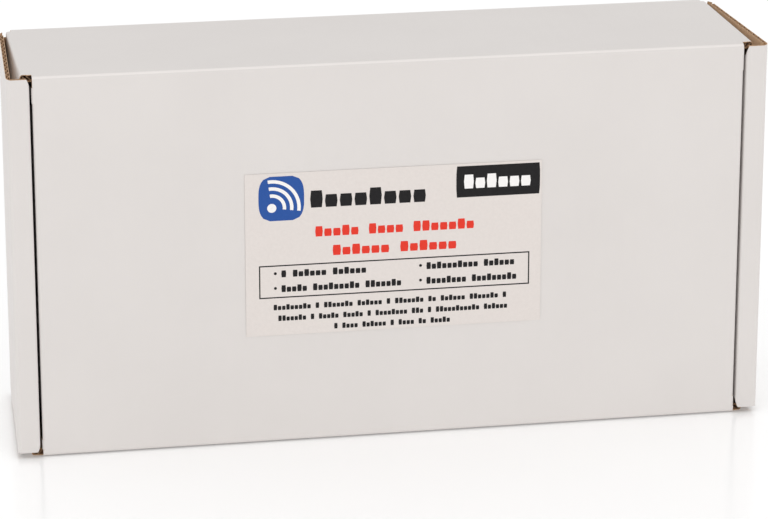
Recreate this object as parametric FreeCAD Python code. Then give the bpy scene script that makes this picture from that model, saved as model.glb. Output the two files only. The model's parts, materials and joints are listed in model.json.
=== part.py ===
import FreeCAD, Part
import math
import os

# A rear parking sensor kit in its closed mailer carton, in millimetres.
# The carton stands on its long tuck side: +Z up, lid facing -Y, +X to the lid's right.
# The origin is at the centre of the carton's footprint, on the surface it stands on.

os.makedirs("parts", exist_ok=True)
V = FreeCAD.Vector

# carton
carton_height = 170.0
carton_depth = 83.0
front_half_width = 165.0        # over the rolled end walls, at the lid
end_wall_lean = 3.6             # the end walls lean in by this much towards the back panel
board = 3.0                     # corrugated board
layer_gap = 0.1                 # between the layers of an end wall
slit = 1.4                      # between the lid and each rolled edge
crease_gap = 0.3                # left open where two panels fold
end_wall_foot = 2.5             # the end walls stop this far above the ground
end_wall_crown = 1.2            # and this far below the top
tab_length = 58.0               # corner tabs inside the end walls
tab_corner = 10.0               # cut off the tabs' free corners
lock_tab_height = 22.0
lock_tab_pitch = 76.0
lock_play = 0.3                 # round each lock tab in its slot
inner_panel_margin = 6.0        # from the inner panels' long edges to the walls above and below
inner_panel_corner = 9.0
fold_radius = 2.0
crease_bead = 0.19              # liner left whole along a flap's crease, which the flap turns on

# lid and its flaps
lid_foot = 0.6
flap_side_step = 0.8            # dust flap's outer face inside the lid's edge
flap_foot = 8.0
flap_head = 12.0
flap_taper = 10.0               # the dust flap's upper edge falls by this much
flap_corner = 4.0
flap_tip_room = 5.5             # from a dust flap's free edge to the foam
tuck_tip_room = 3.4             # from the tuck flap's free edge to the foam
tuck_side_step = 6.4            # the tuck flap's root inside the lid's edge
tuck_root_rise = 0.3            # underside of the flap's root over the lid's foot
tuck_clear = 0.6                # between the flap's underside and the tuck wall's edge
tuck_slope = 3.4                # the flap rises by this much from the wall's edge to its tip
tuck_recess = 5.0               # front edge of the tuck wall, behind the lid
label_width = 130.0
label_height = 73.0
label_centre_z = 86.0
label_thickness = 0.15

# fitted foam insert
foam_clearance = 0.4
foam_depth = 41.3
pocket_clearance = 0.4

# control module
module_width = 88.0
module_height = 62.0
module_thickness = 24.0
module_wall = 2.0
module_centre_x = 19.0
module_centre_z = 125.0
module_split = 10.5             # depth of the base half
socket_count = 6
ear_length = 8.0
ear_thickness = 2.2
ear_hole_radius = 2.2
circuit_board = 1.6
socket_gap = 1.4
socket_depth = 9.0
socket_height = 6.6
widest_socket_pitch = 11.4
socket_wall = 1.0
pin_half = 0.35
pin_spread = 1.8
post_inset = 6.5                # from the module's sides to its screw posts
cover_post_radius = 3.0
base_post_radius = 3.4
module_screw_hole = 1.7
module_screw_radius = 0.95
module_screw_head = 2.6
module_proud = 1.5              # stands out of the foam by this much
vent_count = 7
vent_start = 0.16               # share of the module's width from its middle to the first vent
vent_pitch = 3.6
vent_width = 1.6
vent_length = 22.0
vent_drop = 8.0

# sensors and their sleeves
sensor_pitch = 32.0
sensor_first_x = -18.0
sensor_z = 69.0
sensor_bezel_lip = 2.5          # bezel over the body
sensor_bezel = 1.6
sensor_body_radius = 9.0
sensor_body_length = 18.0
sensor_wall = 1.3
transducer_radius = 6.3
seal_ring = 1.1
sleeve_z = 29.0
sleeve_play = 0.3               # between a sensor and its sleeve
sleeve_wall = 1.8
sleeve_flange = 2.0
sleeve_length = 8.8
sleeve_step = 9.2
sleeve_angles = (0.0, 5.0, 10.0, 15.0)

# speaker
speaker_width = 58.0
speaker_height = 40.0
speaker_thickness = 19.0
speaker_wall = 1.8
speaker_centre_x = 113.0
speaker_centre_z = 132.0
speaker_split = 9.0
cone_radius = 13.0
cone_offset = 11.0              # of the cone, to the left of the speaker's middle
slider_offset = 17.5
grille_bars = 4                 # each side of the middle one
grille_gap = 1.3
speaker_screw_inset = 5.5
speaker_post_radius = 2.4
speaker_screw_radius = 0.75
speaker_screw_head = 2.0
gland_radius = 2.0
gland_bore = 1.1
slider_travel = 4.0             # each way from the middle setting
slider_width = 5.0
slider_height = 6.0

# hardware bag
bag_width = 50.0
bag_height = 82.0
bag_thickness = 13.0
bag_film = 0.4
bag_centre_x = 122.0
bag_centre_z = 54.0
bag_proud = 1.0
bag_screw_count = 6
bag_screw_radius = 1.5
bag_screw_length = 15.0
bag_screw_pitch = 7.2
wire_tap_count = 3
wire_tap_pitch = 13.0
cable_tie_count = 6
cable_tie_length = 56.0
cable_tie_pitch = 5.2

# manuals
manual_width = 105.0
manual_height = 148.0
manual_side_room = 6.3          # from the manuals to the insert's left side
manual_centre_z = 85.0
installation_thickness = 2.6
user_thickness = 1.4

# places that follow from the sizes above
socket_room = module_width / 2 - post_inset - cover_post_radius
socket_pitch = min(widest_socket_pitch, 2 * socket_room / socket_count)
socket_width = socket_pitch - socket_gap
rear_half_width = front_half_width - end_wall_lean
layer_step = board + layer_gap
wall_half_width = rear_half_width - layer_step - layer_gap
sensor_bezel_radius = sensor_body_radius + sensor_bezel_lip
sleeve_bore_radius = sensor_body_radius + sleeve_play
front = -carton_depth / 2
back = carton_depth / 2
lid_inside = front + board
back_inside = back - board
roll_width = 3 * board + 2 * layer_gap
lid_half_width = front_half_width - roll_width - slit
pivot_y = front + board / 2
pivot_z = carton_height - board / 2
foam_front = back_inside - foam_clearance / 2 - foam_depth
foam_half_width = rear_half_width - roll_width - foam_clearance
manual_centre_x = manual_side_room + manual_width / 2 - foam_half_width
flap_root = lid_inside + crease_gap
flap_axis_y = lid_inside + crease_bead + 0.01
tuck_edge = lid_inside + tuck_recess
tuck_half_width = lid_half_width - tuck_side_step
tuck_root_z = lid_foot + tuck_root_rise
tuck_rise = board + tuck_clear
tuck_tip_rise = tuck_rise + tuck_slope
along_x = V(1, 0, 0)
along_y = V(0, 1, 0)
along_z = V(0, 0, 1)


def box(x0, x1, y0, y1, z0, z1):
    return Part.makeBox(x1 - x0, y1 - y0, z1 - z0, V(x0, y0, z0))


def rod(x, z, radius, y0, y1):
    """A round bar along Y."""
    return Part.makeCylinder(radius, y1 - y0, V(x, y0, z), along_y)


def tube(x, z, outer, inner, y0, y1):
    return rod(x, z, outer, y0, y1).cut(rod(x, z, inner, y0 - 1, y1 + 1))


def prism(points, direction):
    """A closed outline of points, carried along a direction."""
    return Part.Face(Part.makePolygon(points + [points[0]])).extrude(direction)


def is_along(edge, axis):
    if len(edge.Vertexes) != 2:
        return False
    run = edge.Vertexes[1].Point.sub(edge.Vertexes[0].Point)
    return abs(abs(run.dot(axis)) - run.Length) < 1e-6


def round_edges(shape, radius, axis, chosen=lambda centre: True):
    """Rounds the straight edges along an axis whose middles are chosen."""
    edges = [e for e in shape.Edges if is_along(e, axis) and chosen(e.CenterOfMass)]
    return shape.makeFillet(radius, edges)


def mirrored(shape):
    return shape.mirror(V(0, 0, 0), along_x)


def save(name, *solids):
    shape = solids[0] if len(solids) == 1 else Part.makeCompound(list(solids))
    shape.exportStep("parts/" + name + ".step")


def save_pair(name, shape):
    """One piece on the right, and its mirror image on the left."""
    save("right_" + name, shape)
    save("left_" + name, mirrored(shape))


# ---- carton walls ----

def end_wall_x(y):
    """Outer face of the right end wall, which leans in towards the back."""
    share = (y - front) / carton_depth
    return front_half_width + (rear_half_width - front_half_width) * share


def end_layer(layer, y0, y1, z0, z1):
    """One of the three board layers of the right end wall, counted from outside."""
    inset = layer * layer_step
    plan = [V(end_wall_x(y0) - inset - board, y0, z0), V(end_wall_x(y0) - inset, y0, z0),
            V(end_wall_x(y1) - inset, y1, z0), V(end_wall_x(y1) - inset - board, y1, z0)]
    return prism(plan, V(0, 0, z1 - z0))


def lock_tab_levels():
    middle = carton_height / 2
    return [middle - lock_tab_pitch / 2, middle + lock_tab_pitch / 2]


def back_panel():
    """The back, with two slots at each end for the end walls' lock tabs."""
    z0 = layer_step
    z1 = carton_height - layer_step
    x_in = end_wall_x(back_inside) - layer_step
    x_out = end_wall_x(back) - layer_step
    plan = [V(x_in, back_inside, z0), V(x_out, back, z0), V(-x_out, back, z0), V(-x_in, back_inside, z0)]
    panel = prism(plan, V(0, 0, z1 - z0))
    slot_x0 = end_wall_x(back) - roll_width - lock_play
    slot_x1 = end_wall_x(back_inside) - 2 * layer_step + lock_play
    for level in lock_tab_levels():
        z_low = level - lock_tab_height / 2 - lock_play
        z_high = level + lock_tab_height / 2 + lock_play
        slot = box(slot_x0, slot_x1, back_inside - 1, back + 1, z_low, z_high)
        panel = panel.cut(slot).cut(mirrored(slot))
    return panel


def end_outer_panel():
    panel = end_layer(0, flap_root, back, end_wall_foot, carton_height - end_wall_crown / 2)
    x1 = rear_half_width - 0.1
    return round_edges(panel, fold_radius, along_z, lambda c: c.y > back - 0.1 and c.x > x1)


def end_roll_top():
    x1 = end_wall_x(front)
    strip = box(x1 - roll_width, x1, front, lid_inside, end_wall_foot, carton_height - end_wall_crown)
    return round_edges(strip, board / 2, along_z, lambda c: c.y < front + 0.1)


def corner_cut(y, z, run_y, run_z):
    """A wedge over the right end wall's thickness, for cutting a corner off one of its layers."""
    x0 = rear_half_width - 4 * board - 10
    y0 = y - run_y / 10
    z0 = z - run_z / 10
    wedge = [V(x0, y0, z0), V(x0, y + run_y, z0), V(x0, y0, z + run_z)]
    return prism(wedge, V(front_half_width - x0 + 10, 0, 0))


def end_inner_panel():
    """The inside layer, with cut corners and two tabs through the back panel."""
    y0 = flap_root
    y1 = back_inside - crease_gap
    z0 = board + inner_panel_margin
    z1 = carton_height - board - inner_panel_margin
    panel = end_layer(2, y0, y1, z0, z1)
    panel = panel.cut(corner_cut(y0, z0, inner_panel_corner, inner_panel_corner))
    panel = panel.cut(corner_cut(y0, z1, inner_panel_corner, -inner_panel_corner))
    for level in lock_tab_levels():
        low = level - lock_tab_height / 2
        panel = panel.fuse(end_layer(2, y1 - 1, back - 0.4, low, low + lock_tab_height))
    return panel.removeSplitter()


def corner_tab(z_fold, z_end):
    """A hinge wall or tuck wall tab, folded down inside the end wall."""
    y0 = lid_inside + 0.6
    y1 = back_inside - 0.4
    away = -1 if z_end > z_fold else 1
    tab = end_layer(1, y0, y1, min(z_fold, z_end), max(z_fold, z_end))
    for y_edge, side in ((y0, 1), (y1, -1)):
        tab = tab.cut(corner_cut(y_edge, z_end, side * tab_corner, away * 2 * tab_corner))
    return tab


def hinge_wall():
    """The top wall, whose front edge is the rounded crease that the lid turns on."""
    z0 = carton_height - board
    plate = box(-wall_half_width, wall_half_width, flap_root, back, z0, carton_height)
    plate = round_edges(plate, fold_radius, along_x, lambda c: c.y > back - 0.1 and c.z > z0 + 1)
    neck = box(-lid_half_width, lid_half_width, pivot_y, lid_inside + 1, z0, carton_height)
    crease = Part.makeCylinder(board / 2, 2 * lid_half_width, V(-lid_half_width, pivot_y, pivot_z), along_x)
    return plate.fuse([neck, crease]).removeSplitter()


def tuck_wall():
    """The wall it stands on. Its front edge stays back, where the tuck flap comes in."""
    plate = box(-wall_half_width, wall_half_width, tuck_edge, back, 0, board)
    return round_edges(plate, fold_radius, along_x, lambda c: c.y > back - 0.1 and c.z < 1)


def tuck_wall_corner():
    """The web left beside the tuck flap, between the tuck wall's front edge and the rolled end."""
    return box(tuck_half_width + 1.5, wall_half_width, flap_root, tuck_edge, 0, board)


# ---- lid and flaps ----

def lid_panel():
    z1 = pivot_z - board / 2 - crease_gap
    panel = box(-lid_half_width, lid_half_width, front, lid_inside, lid_foot, z1)
    return round_edges(panel, fold_radius, along_x, lambda c: c.y < front + 0.1 and c.z < board)


def lid_label():
    z0 = label_centre_z - label_height / 2
    x1 = label_width / 2
    return box(-x1, x1, front - label_thickness, front, z0, z0 + label_height)


def dust_flap():
    """A mitred flap folded in from the lid's right edge, on the bead of liner along its crease."""
    x1 = lid_half_width - flap_side_step
    y1 = foam_front - flap_tip_room
    z1 = carton_height - flap_head
    mitre = y1 - flap_root
    outline = [V(x1, flap_root, flap_foot), V(x1, y1, flap_foot + mitre), V(x1, y1, z1 - flap_taper),
               V(x1, flap_root, z1)]
    flap = prism(outline, V(-board, 0, 0))
    flap = round_edges(flap, flap_corner, along_x, lambda c: c.y > y1 - 0.1)
    bead = Part.makeCylinder(crease_bead, z1 - flap_foot, V(x1 - board, flap_axis_y, flap_foot), along_z)
    return flap.fuse(bead).removeSplitter()


def tuck_step():
    """The strip between the tuck flap's two creases. It climbs over the tuck wall's edge."""
    side = [(flap_root, tuck_root_z), (tuck_edge + 0.3, tuck_rise), (tuck_edge + 0.3, tuck_rise + board),
            (flap_root, tuck_root_z + board)]
    strip = prism([V(-tuck_half_width, y, z) for y, z in side], V(2 * tuck_half_width, 0, 0))
    axis = V(-tuck_half_width, flap_axis_y, tuck_root_z + board)
    return strip.fuse(Part.makeCylinder(crease_bead, 2 * tuck_half_width, axis, along_x)).removeSplitter()


def tuck_flap():
    """The flap beyond the second crease. It lies just above the tuck wall, with mitred ends."""
    y0 = tuck_edge + 0.3
    y1 = foam_front - tuck_tip_room
    inset = tuck_half_width - (y1 - y0)
    side = [(y0, tuck_rise), (y1, tuck_tip_rise), (y1, tuck_tip_rise + board), (y0, tuck_rise + board)]
    flap = prism([V(-tuck_half_width, y, z) for y, z in side], V(2 * tuck_half_width, 0, 0))
    plan = [V(-tuck_half_width, y0, 0), V(tuck_half_width, y0, 0), V(inset, y1, 0), V(-inset, y1, 0)]
    return flap.common(prism(plan, V(0, 0, tuck_tip_rise + 2 * board)))


# ---- blocks used for the kit's housings and their pockets ----

def centred(x, z, width, height, y0, y1):
    return box(x - width / 2, x + width / 2, y0, y1, z - height / 2, z + height / 2)


def soft_block(x, z, width, height, y0, y1, corner, front_radius=0.0):
    """A block along Y with rounded corners, and a rounded rim on its front."""
    block = round_edges(centred(x, z, width, height, y0, y1), corner, along_y)
    if front_radius:
        rim = [e for e in block.Edges if abs(e.CenterOfMass.y - y0) < 1e-6]
        block = block.makeFillet(front_radius, rim)
    return block


def pocket(x, z, width, height, depth, corner):
    play = 2 * pocket_clearance
    y1 = foam_front + depth + pocket_clearance
    return soft_block(x, z, width + play, height + play, foam_front - 1, y1, corner)


def hollow_shell(place, width, height, wall, reach, open_front, radii):
    """A housing half: a soft block, open at its front or its back."""
    y0, y1 = reach
    corner, front_radius = radii
    inner_y0 = y0 - 1 if open_front else y0 + wall
    inner_y1 = y1 - wall if open_front else y1 + 1
    shell = soft_block(*place, width, height, y0, y1, corner, front_radius)
    core = soft_block(*place, width - 2 * wall, height - 2 * wall, inner_y0, inner_y1, corner - wall)
    return shell.cut(core)


# ---- control module ----

module_front = foam_front - module_proud
module_back = module_front + module_thickness
module_joint = module_back - module_split
board_y = module_joint - circuit_board


def module_posts():
    dx = module_width / 2 - post_inset
    dz = module_height / 2 - post_inset
    return [(module_centre_x + sx * dx, module_centre_z + sz * dz) for sx in (1, -1) for sz in (1, -1)]


def module_shell(y0, y1, open_front, front_radius=0.0):
    place = (module_centre_x, module_centre_z)
    radii = (4.0, front_radius)
    return hollow_shell(place, module_width, module_height, module_wall, (y0, y1), open_front, radii)


def ear_holes():
    dx = module_width / 2 + ear_length / 2
    dz = module_height / 3.4
    return [(module_centre_x + side * dx, module_centre_z + up * dz) for side in (1, -1) for up in (1, -1)]


def module_base():
    base = module_shell(module_joint + 0.1, module_back, True)
    ears = soft_block(module_centre_x, module_centre_z, module_width + 2 * ear_length, module_height * 0.8,
                      module_back - ear_thickness, module_back, 4.0)
    core = centred(module_centre_x, module_centre_z, module_width - 6, module_height - 6,
                   module_joint - 8, module_back - module_wall)
    base = base.fuse(ears).cut(core)
    for x, z in module_posts():
        base = base.fuse(rod(x, z, base_post_radius, module_joint + 0.1, module_back - 0.5))
    for x, z in module_posts():
        base = base.cut(rod(x, z, module_screw_hole, module_joint - 1, module_back + 1))
        base = base.cut(rod(x, z, module_screw_head + 0.4, module_back - 1.9, module_back + 1))
    for x, z in ear_holes():
        base = base.cut(rod(x, z, ear_hole_radius, module_back - 5, module_back + 1))
    return base.removeSplitter()


def socket_places():
    """Six sockets along the module's upper side: four sensors, the speaker and the supply."""
    first = module_centre_x - (socket_count - 1) / 2 * socket_pitch
    return [first + i * socket_pitch for i in range(socket_count)]


def module_cover():
    cover = module_shell(module_front, module_joint, False, 1.5)
    top = module_centre_z + module_height / 2
    y1 = board_y
    for x in socket_places():
        half = socket_width / 2 + 0.2
        cover = cover.cut(box(x - half, x + half, y1 - socket_height - 0.2, y1, top - 4, top + 2))
    for x, z in module_posts():
        cover = cover.fuse(rod(x, z, cover_post_radius, module_front + 1, board_y - 0.1))
        cover = cover.cut(rod(x, z, module_screw_radius + 0.05, module_front + 4, module_joint + 1))
    for i in range(vent_count):
        x = module_centre_x + module_width * vent_start + i * vent_pitch
        vent = centred(x, module_centre_z - vent_drop, vent_width, vent_length,
                       module_front - 1, module_front + module_wall + 1)
        cover = cover.cut(vent)
    return cover.removeSplitter()


def module_circuit_board():
    inset = module_wall + 0.6
    plate = centred(module_centre_x, module_centre_z, module_width - 2 * inset, module_height - 2 * inset,
                    board_y, module_joint)
    for x, z in module_posts():
        plate = plate.cut(rod(x, z, base_post_radius + 0.4, board_y - 1, module_joint + 1))
    return plate


def socket(x):
    """A keyed socket whose mouth faces up, out of the module's side."""
    top = module_centre_z + module_height / 2 + 0.8
    half = socket_width / 2
    y1 = board_y - 0.1
    y0 = y1 - socket_height + 0.2
    body = box(x - half, x + half, y0, y1, top - socket_depth, top)
    cavity_half = half - socket_wall
    mouth = box(x - cavity_half, x + cavity_half, y0 + 1.3, y0 + 1.3 + 3.7, top - socket_depth + 2, top + 1)
    key = box(x - 1.2, x + 1.2, y0 - 1, y0 + 1.4, top - 4, top + 1)
    return body.cut(mouth).cut(key)


def socket_pins(x):
    top = module_centre_z + module_height / 2
    y = board_y - 0.1 - socket_height / 2
    pin = box(x - pin_half, x + pin_half, y - pin_half, y + pin_half, top - 6.2, top - 1.2)
    return [pin.translated(V(shift, 0, 0)) for shift in (-pin_spread, pin_spread)]


def module_components():
    """Chips, a relay, a coil and capacitors on the circuit board."""
    x = module_centre_x
    z = module_centre_z
    y1 = board_y - 0.05
    wide = module_width / 88
    tall = module_height / 62
    # middle across and up, width, height, thickness
    blocks = [(-20, -2, 14, 14, 1.8), (2, -4, 9, 7, 1.6), (2, 8, 9, 5, 1.6), (24, -14, 12, 15, 9.5),
              (-20, -18, 20, 5, 2.4)]
    made = [centred(x + dx * wide, z + dz * tall, width * wide, height * tall, y1 - thick, y1)
            for dx, dz, width, height, thick in blocks]
    cans = ((12, -20), (24, 6), (33, 6))
    return made + [rod(x + dx * wide, z + dz * tall, 3.2 * wide, y1 - 8.0, y1) for dx, dz in cans]


def module_adhesive_pad():
    return centred(module_centre_x, module_centre_z, module_width - 30, module_height - 28,
                   module_back + 0.05, module_back + 1.05)


def module_screw(x, z):
    shank = rod(x, z, module_screw_radius, module_joint - 4.5, module_back - 1.9)
    return shank.fuse(rod(x, z, module_screw_head, module_back - 1.9, module_back - 0.5)).removeSplitter()


# ---- sensors and sleeves ----

def sensor_xs():
    return [sensor_first_x + i * sensor_pitch for i in range(4)]


sensor_front = foam_front - sensor_bezel
sensor_back = foam_front + sensor_body_length
ring_outer = transducer_radius + seal_ring


def sensor_housing(x):
    body = rod(x, sensor_z, sensor_body_radius, sensor_front + 0.4, sensor_back)
    bezel = rod(x, sensor_z, sensor_bezel_radius, sensor_front, foam_front - 0.02)
    rim = [e for e in bezel.Edges if abs(e.CenterOfMass.y - sensor_front) < 1e-6]
    body = body.fuse(bezel.makeFillet(1.0, rim))
    for way in (1, -1):
        barb = [V(x + way * (sensor_body_radius - 0.5), foam_front + 3, sensor_z - 2.5),
                V(x + way * (sensor_body_radius + 1.3), foam_front + 4, sensor_z - 2.5),
                V(x + way * (sensor_body_radius - 0.5), foam_front + 12, sensor_z - 2.5)]
        body = body.fuse(prism(barb, V(0, 0, 5)))
    body = body.cut(rod(x, sensor_z, ring_outer + 0.05, sensor_front - 1, sensor_back - sensor_wall))
    return body.cut(rod(x, sensor_z, 2.6, sensor_back - 3, sensor_back + 1)).removeSplitter()


def sensor_transducer(x):
    """The aluminium cup whose closed front is the part that sounds."""
    cup = rod(x, sensor_z, transducer_radius, sensor_front + 0.15, sensor_front + 8.0)
    return cup.cut(rod(x, sensor_z, transducer_radius - 0.9, sensor_front + 1.1, sensor_front + 9.0))


def sensor_seal_ring(x):
    return tube(x, sensor_z, ring_outer, transducer_radius + 0.05, sensor_front + 0.3, sensor_front + 8.0)


def sensor_piezo(x):
    return rod(x, sensor_z, 3.6, sensor_front + 1.15, sensor_front + 1.6)


def sensor_potting(x):
    return rod(x, sensor_z, ring_outer, sensor_front + 8.1, sensor_back - sensor_wall - 0.1)


def sensor_gland(x):
    """The sleeve at the back that the sensor's lead leaves through."""
    body = tube(x, sensor_z, 2.5, 1.4, sensor_back - sensor_wall, sensor_back + 6.0)
    for i in range(3):
        y = sensor_back + 1.2 + 1.7 * i
        body = body.fuse(tube(x, sensor_z, 3.1, 2.3, y, y + 0.8))
    return body.removeSplitter()


def sleeve(x, angle, place):
    """A sleeve whose flange is cut at the angle that tips the sensor up."""
    y0 = foam_front + 0.3 + place * sleeve_step
    y1 = y0 + sleeve_length
    outer = sleeve_bore_radius + sleeve_wall
    wide = outer + sleeve_flange
    lift = 2 * wide * math.tan(math.radians(angle))
    slope = [V(x - 20, y0 - 5, sleeve_z - wide), V(x - 20, y0 + lift, sleeve_z - wide),
             V(x - 20, y0, sleeve_z + wide), V(x - 20, y0 - 5, sleeve_z + wide)]
    tilt = FreeCAD.Rotation(V(1, 0, 0), -angle)
    flange = rod(0, 0, wide / math.cos(math.radians(angle)) + 2, 0, 1.3)
    flange.Placement = FreeCAD.Placement(V(x, y0 + lift / 2, sleeve_z), tilt)
    flange = flange.common(rod(x, sleeve_z, wide, y0 - 1, y1))
    barrel = rod(x, sleeve_z, outer, y0, y1).cut(prism(slope, V(40, 0, 0)))
    return barrel.fuse(flange).cut(rod(x, sleeve_z, sleeve_bore_radius, y0 - 1, y1 + 1)).removeSplitter()


# ---- speaker ----

speaker_front = foam_front - 0.8
speaker_back = speaker_front + speaker_thickness
speaker_joint = speaker_back - speaker_split
cone_x = speaker_centre_x - cone_offset
slider_x = speaker_centre_x + slider_offset


def speaker_shell(y0, y1, open_front, front_radius=0.0):
    place = (speaker_centre_x, speaker_centre_z)
    radii = (5.0, front_radius)
    return hollow_shell(place, speaker_width, speaker_height, speaker_wall, (y0, y1), open_front, radii)


def speaker_screw_places():
    dz = speaker_height / 2 - speaker_screw_inset
    return [(slider_x + 2, speaker_centre_z + dz), (slider_x + 2, speaker_centre_z - dz)]


def speaker_base():
    base = speaker_shell(speaker_joint + 0.1, speaker_back, True)
    for x, z in speaker_screw_places():
        base = base.fuse(rod(x, z, speaker_post_radius + 0.4, speaker_joint + 0.1, speaker_back - 0.5))
        base = base.cut(rod(x, z, speaker_screw_radius + 0.45, speaker_joint - 1, speaker_back + 1))
        base = base.cut(rod(x, z, speaker_screw_head + 0.3, speaker_back - 1.6, speaker_back + 1))
    gland_z = speaker_centre_z - speaker_height / 2
    lead_hole = Part.makeCylinder(gland_radius + 0.1, 6, V(cone_x, speaker_joint + 4.5, gland_z - 1))
    return base.cut(lead_hole).removeSplitter()


def speaker_cover():
    cover = speaker_shell(speaker_front, speaker_joint, False, 2.0)
    reach = (speaker_front - 1, speaker_front + 3)
    for i in range(-grille_bars, grille_bars + 1):
        dz = i * cone_radius / (grille_bars + 0.5)
        run = 2 * math.sqrt(cone_radius ** 2 - dz ** 2)
        cover = cover.cut(centred(cone_x, speaker_centre_z + dz, run, grille_gap, *reach))
    slot_length = slider_width + 2 * slider_travel + 0.8
    cover = cover.cut(centred(slider_x, speaker_centre_z, slot_length, 3.0, *reach))
    for x, z in speaker_screw_places():
        cover = cover.fuse(rod(x, z, speaker_post_radius, speaker_front + 1, speaker_joint))
        cover = cover.cut(rod(x, z, speaker_screw_radius + 0.05, speaker_front + 4, speaker_joint + 1))
    return cover.removeSplitter()


def speaker_cone():
    """A thin dished cone inside its round edge."""
    y0 = speaker_front + speaker_wall + 1.2
    rim = cone_radius - 0.2
    profile = [V(cone_x + 4, y0 + 4.6, speaker_centre_z), V(cone_x + rim - 2, y0 + 0.6, speaker_centre_z),
               V(cone_x + rim, y0 + 0.6, speaker_centre_z), V(cone_x + rim, y0 + 1.2, speaker_centre_z),
               V(cone_x + rim - 1.8, y0 + 1.2, speaker_centre_z), V(cone_x + 4, y0 + 5.2, speaker_centre_z),
               V(cone_x, y0 + 5.2, speaker_centre_z), V(cone_x, y0 + 4.6, speaker_centre_z)]
    face = Part.Face(Part.makePolygon(profile + [profile[0]]))
    return face.revolve(V(cone_x, 0, speaker_centre_z), along_y, 360)


def speaker_frame():
    y0 = speaker_front + speaker_wall + 2.5
    ring = tube(cone_x, speaker_centre_z, cone_radius, cone_radius - 1.5, y0, y0 + 5.5)
    plate = tube(cone_x, speaker_centre_z, cone_radius, 6.0, y0 + 4.5, y0 + 5.5)
    return ring.fuse(plate).removeSplitter()


def speaker_magnet():
    y0 = speaker_front + speaker_wall + 8.1
    return rod(cone_x, speaker_centre_z, 8.5, y0, y0 + 4.5)


def volume_switch_body():
    y0 = speaker_front + speaker_wall + 0.6
    body = centred(slider_x, speaker_centre_z, slider_width + 2 * slider_travel + 3, 8.0, y0, y0 + 5)
    room = centred(slider_x, speaker_centre_z, slider_width + 2 * slider_travel + 0.8, 3.0, y0 - 1, y0 + 3)
    return body.cut(room)


def volume_slider():
    y0 = speaker_front
    z = speaker_centre_z
    stem = centred(slider_x, z, slider_width - 1.2, 2.3, y0 - 0.5, y0 + 4.6)
    knob = centred(slider_x, z, slider_width, slider_height, y0 - 1.7, y0 - 0.3)
    for i in (-1, 0, 1):
        knob = knob.cut(centred(slider_x + i * 1.3, z, 0.5, slider_height + 2, y0 - 2, y0 - 1.4))
    return stem.fuse(knob).removeSplitter()


def speaker_gland():
    z1 = speaker_centre_z - speaker_height / 2 + 2.4
    outer = Part.makeCylinder(gland_radius, 4.4, V(cone_x, speaker_joint + 4.5, z1 - 4.4))
    return outer.cut(Part.makeCylinder(gland_bore, 6, V(cone_x, speaker_joint + 4.5, z1 - 5)))


def speaker_screw(x, z):
    shank = rod(x, z, speaker_screw_radius, speaker_joint - 4, speaker_back - 1.6)
    return shank.fuse(rod(x, z, speaker_screw_head, speaker_back - 1.6, speaker_back - 0.4))


def speaker_adhesive_pad():
    return centred(speaker_centre_x, speaker_centre_z, speaker_width - 18, speaker_height - 16,
                   speaker_back + 0.05, speaker_back + 0.95)


# ---- hardware bag ----

bag_front = foam_front - bag_proud
bag_back = bag_front + bag_thickness


def hardware_bag():
    """A sealed film bag, modelled as a thin closed skin with its seal along the top."""
    fat = bag_height - 12
    z = bag_centre_z - 6
    skin = soft_block(bag_centre_x, z, bag_width, fat, bag_front, bag_back, 4.0, 3.0)
    room = centred(bag_centre_x, z, bag_width - 2 * bag_film - 4, fat - 2 * bag_film - 4,
                   bag_front + bag_film, bag_back - bag_film)
    seal = centred(bag_centre_x, bag_centre_z + bag_height / 2 - 7, bag_width - 6, 13.0,
                   bag_front + 5, bag_front + 5 + 2 * bag_film)
    return skin.fuse(seal).cut(room).removeSplitter()


def bag_screw(i):
    """A self-tapping screw lying upright in the bag."""
    x = bag_centre_x + 1.5 + (i % 3) * bag_screw_pitch
    y = bag_front + 3.4 + (i // 3) * 5.6
    z = bag_centre_z - bag_height / 2 + 4
    shank = Part.makeCylinder(bag_screw_radius, bag_screw_length, V(x, y, z))
    head = Part.makeCylinder(bag_screw_radius + 1.1, 1.8, V(x, y, z + bag_screw_length))
    return shank.fuse(head).removeSplitter()


def wire_tap(i):
    """A clip-on splice connector with its two wire channels."""
    z = bag_centre_z - 16 + i * wire_tap_pitch
    x = bag_centre_x + 10
    y = bag_front + 2
    body = box(x - 9, x + 9, y, y + 8, z, z + 10)
    body = round_edges(body, 1.0, along_x)
    for dx in (-4.4, 4.4):
        body = body.cut(Part.makeCylinder(1.5, 12, V(x + dx, y + 4, z - 1)))
    return body


def cable_tie(i):
    x = bag_centre_x - bag_width / 2 + 5.5 + (i % 3) * cable_tie_pitch
    y = bag_front + 2.6 + (i // 3) * 4.2
    z = bag_centre_z - bag_height / 2 + 5
    z_head = z + cable_tie_length - 2
    strap = box(x - 1.3, x + 1.3, y - 0.5, y + 0.5, z, z + cable_tie_length)
    return strap.fuse(box(x - 2.3, x + 2.3, y - 1.5, y + 1.5, z_head, z_head + 5)).removeSplitter()


# ---- manuals and foam ----

def manual(y0, thickness):
    block = centred(manual_centre_x, manual_centre_z, manual_width, manual_height, y0, y0 + thickness)
    spine = manual_centre_x - manual_width / 2
    return round_edges(block, thickness * 0.45, along_z, lambda c: c.x < spine + 0.1)


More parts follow.
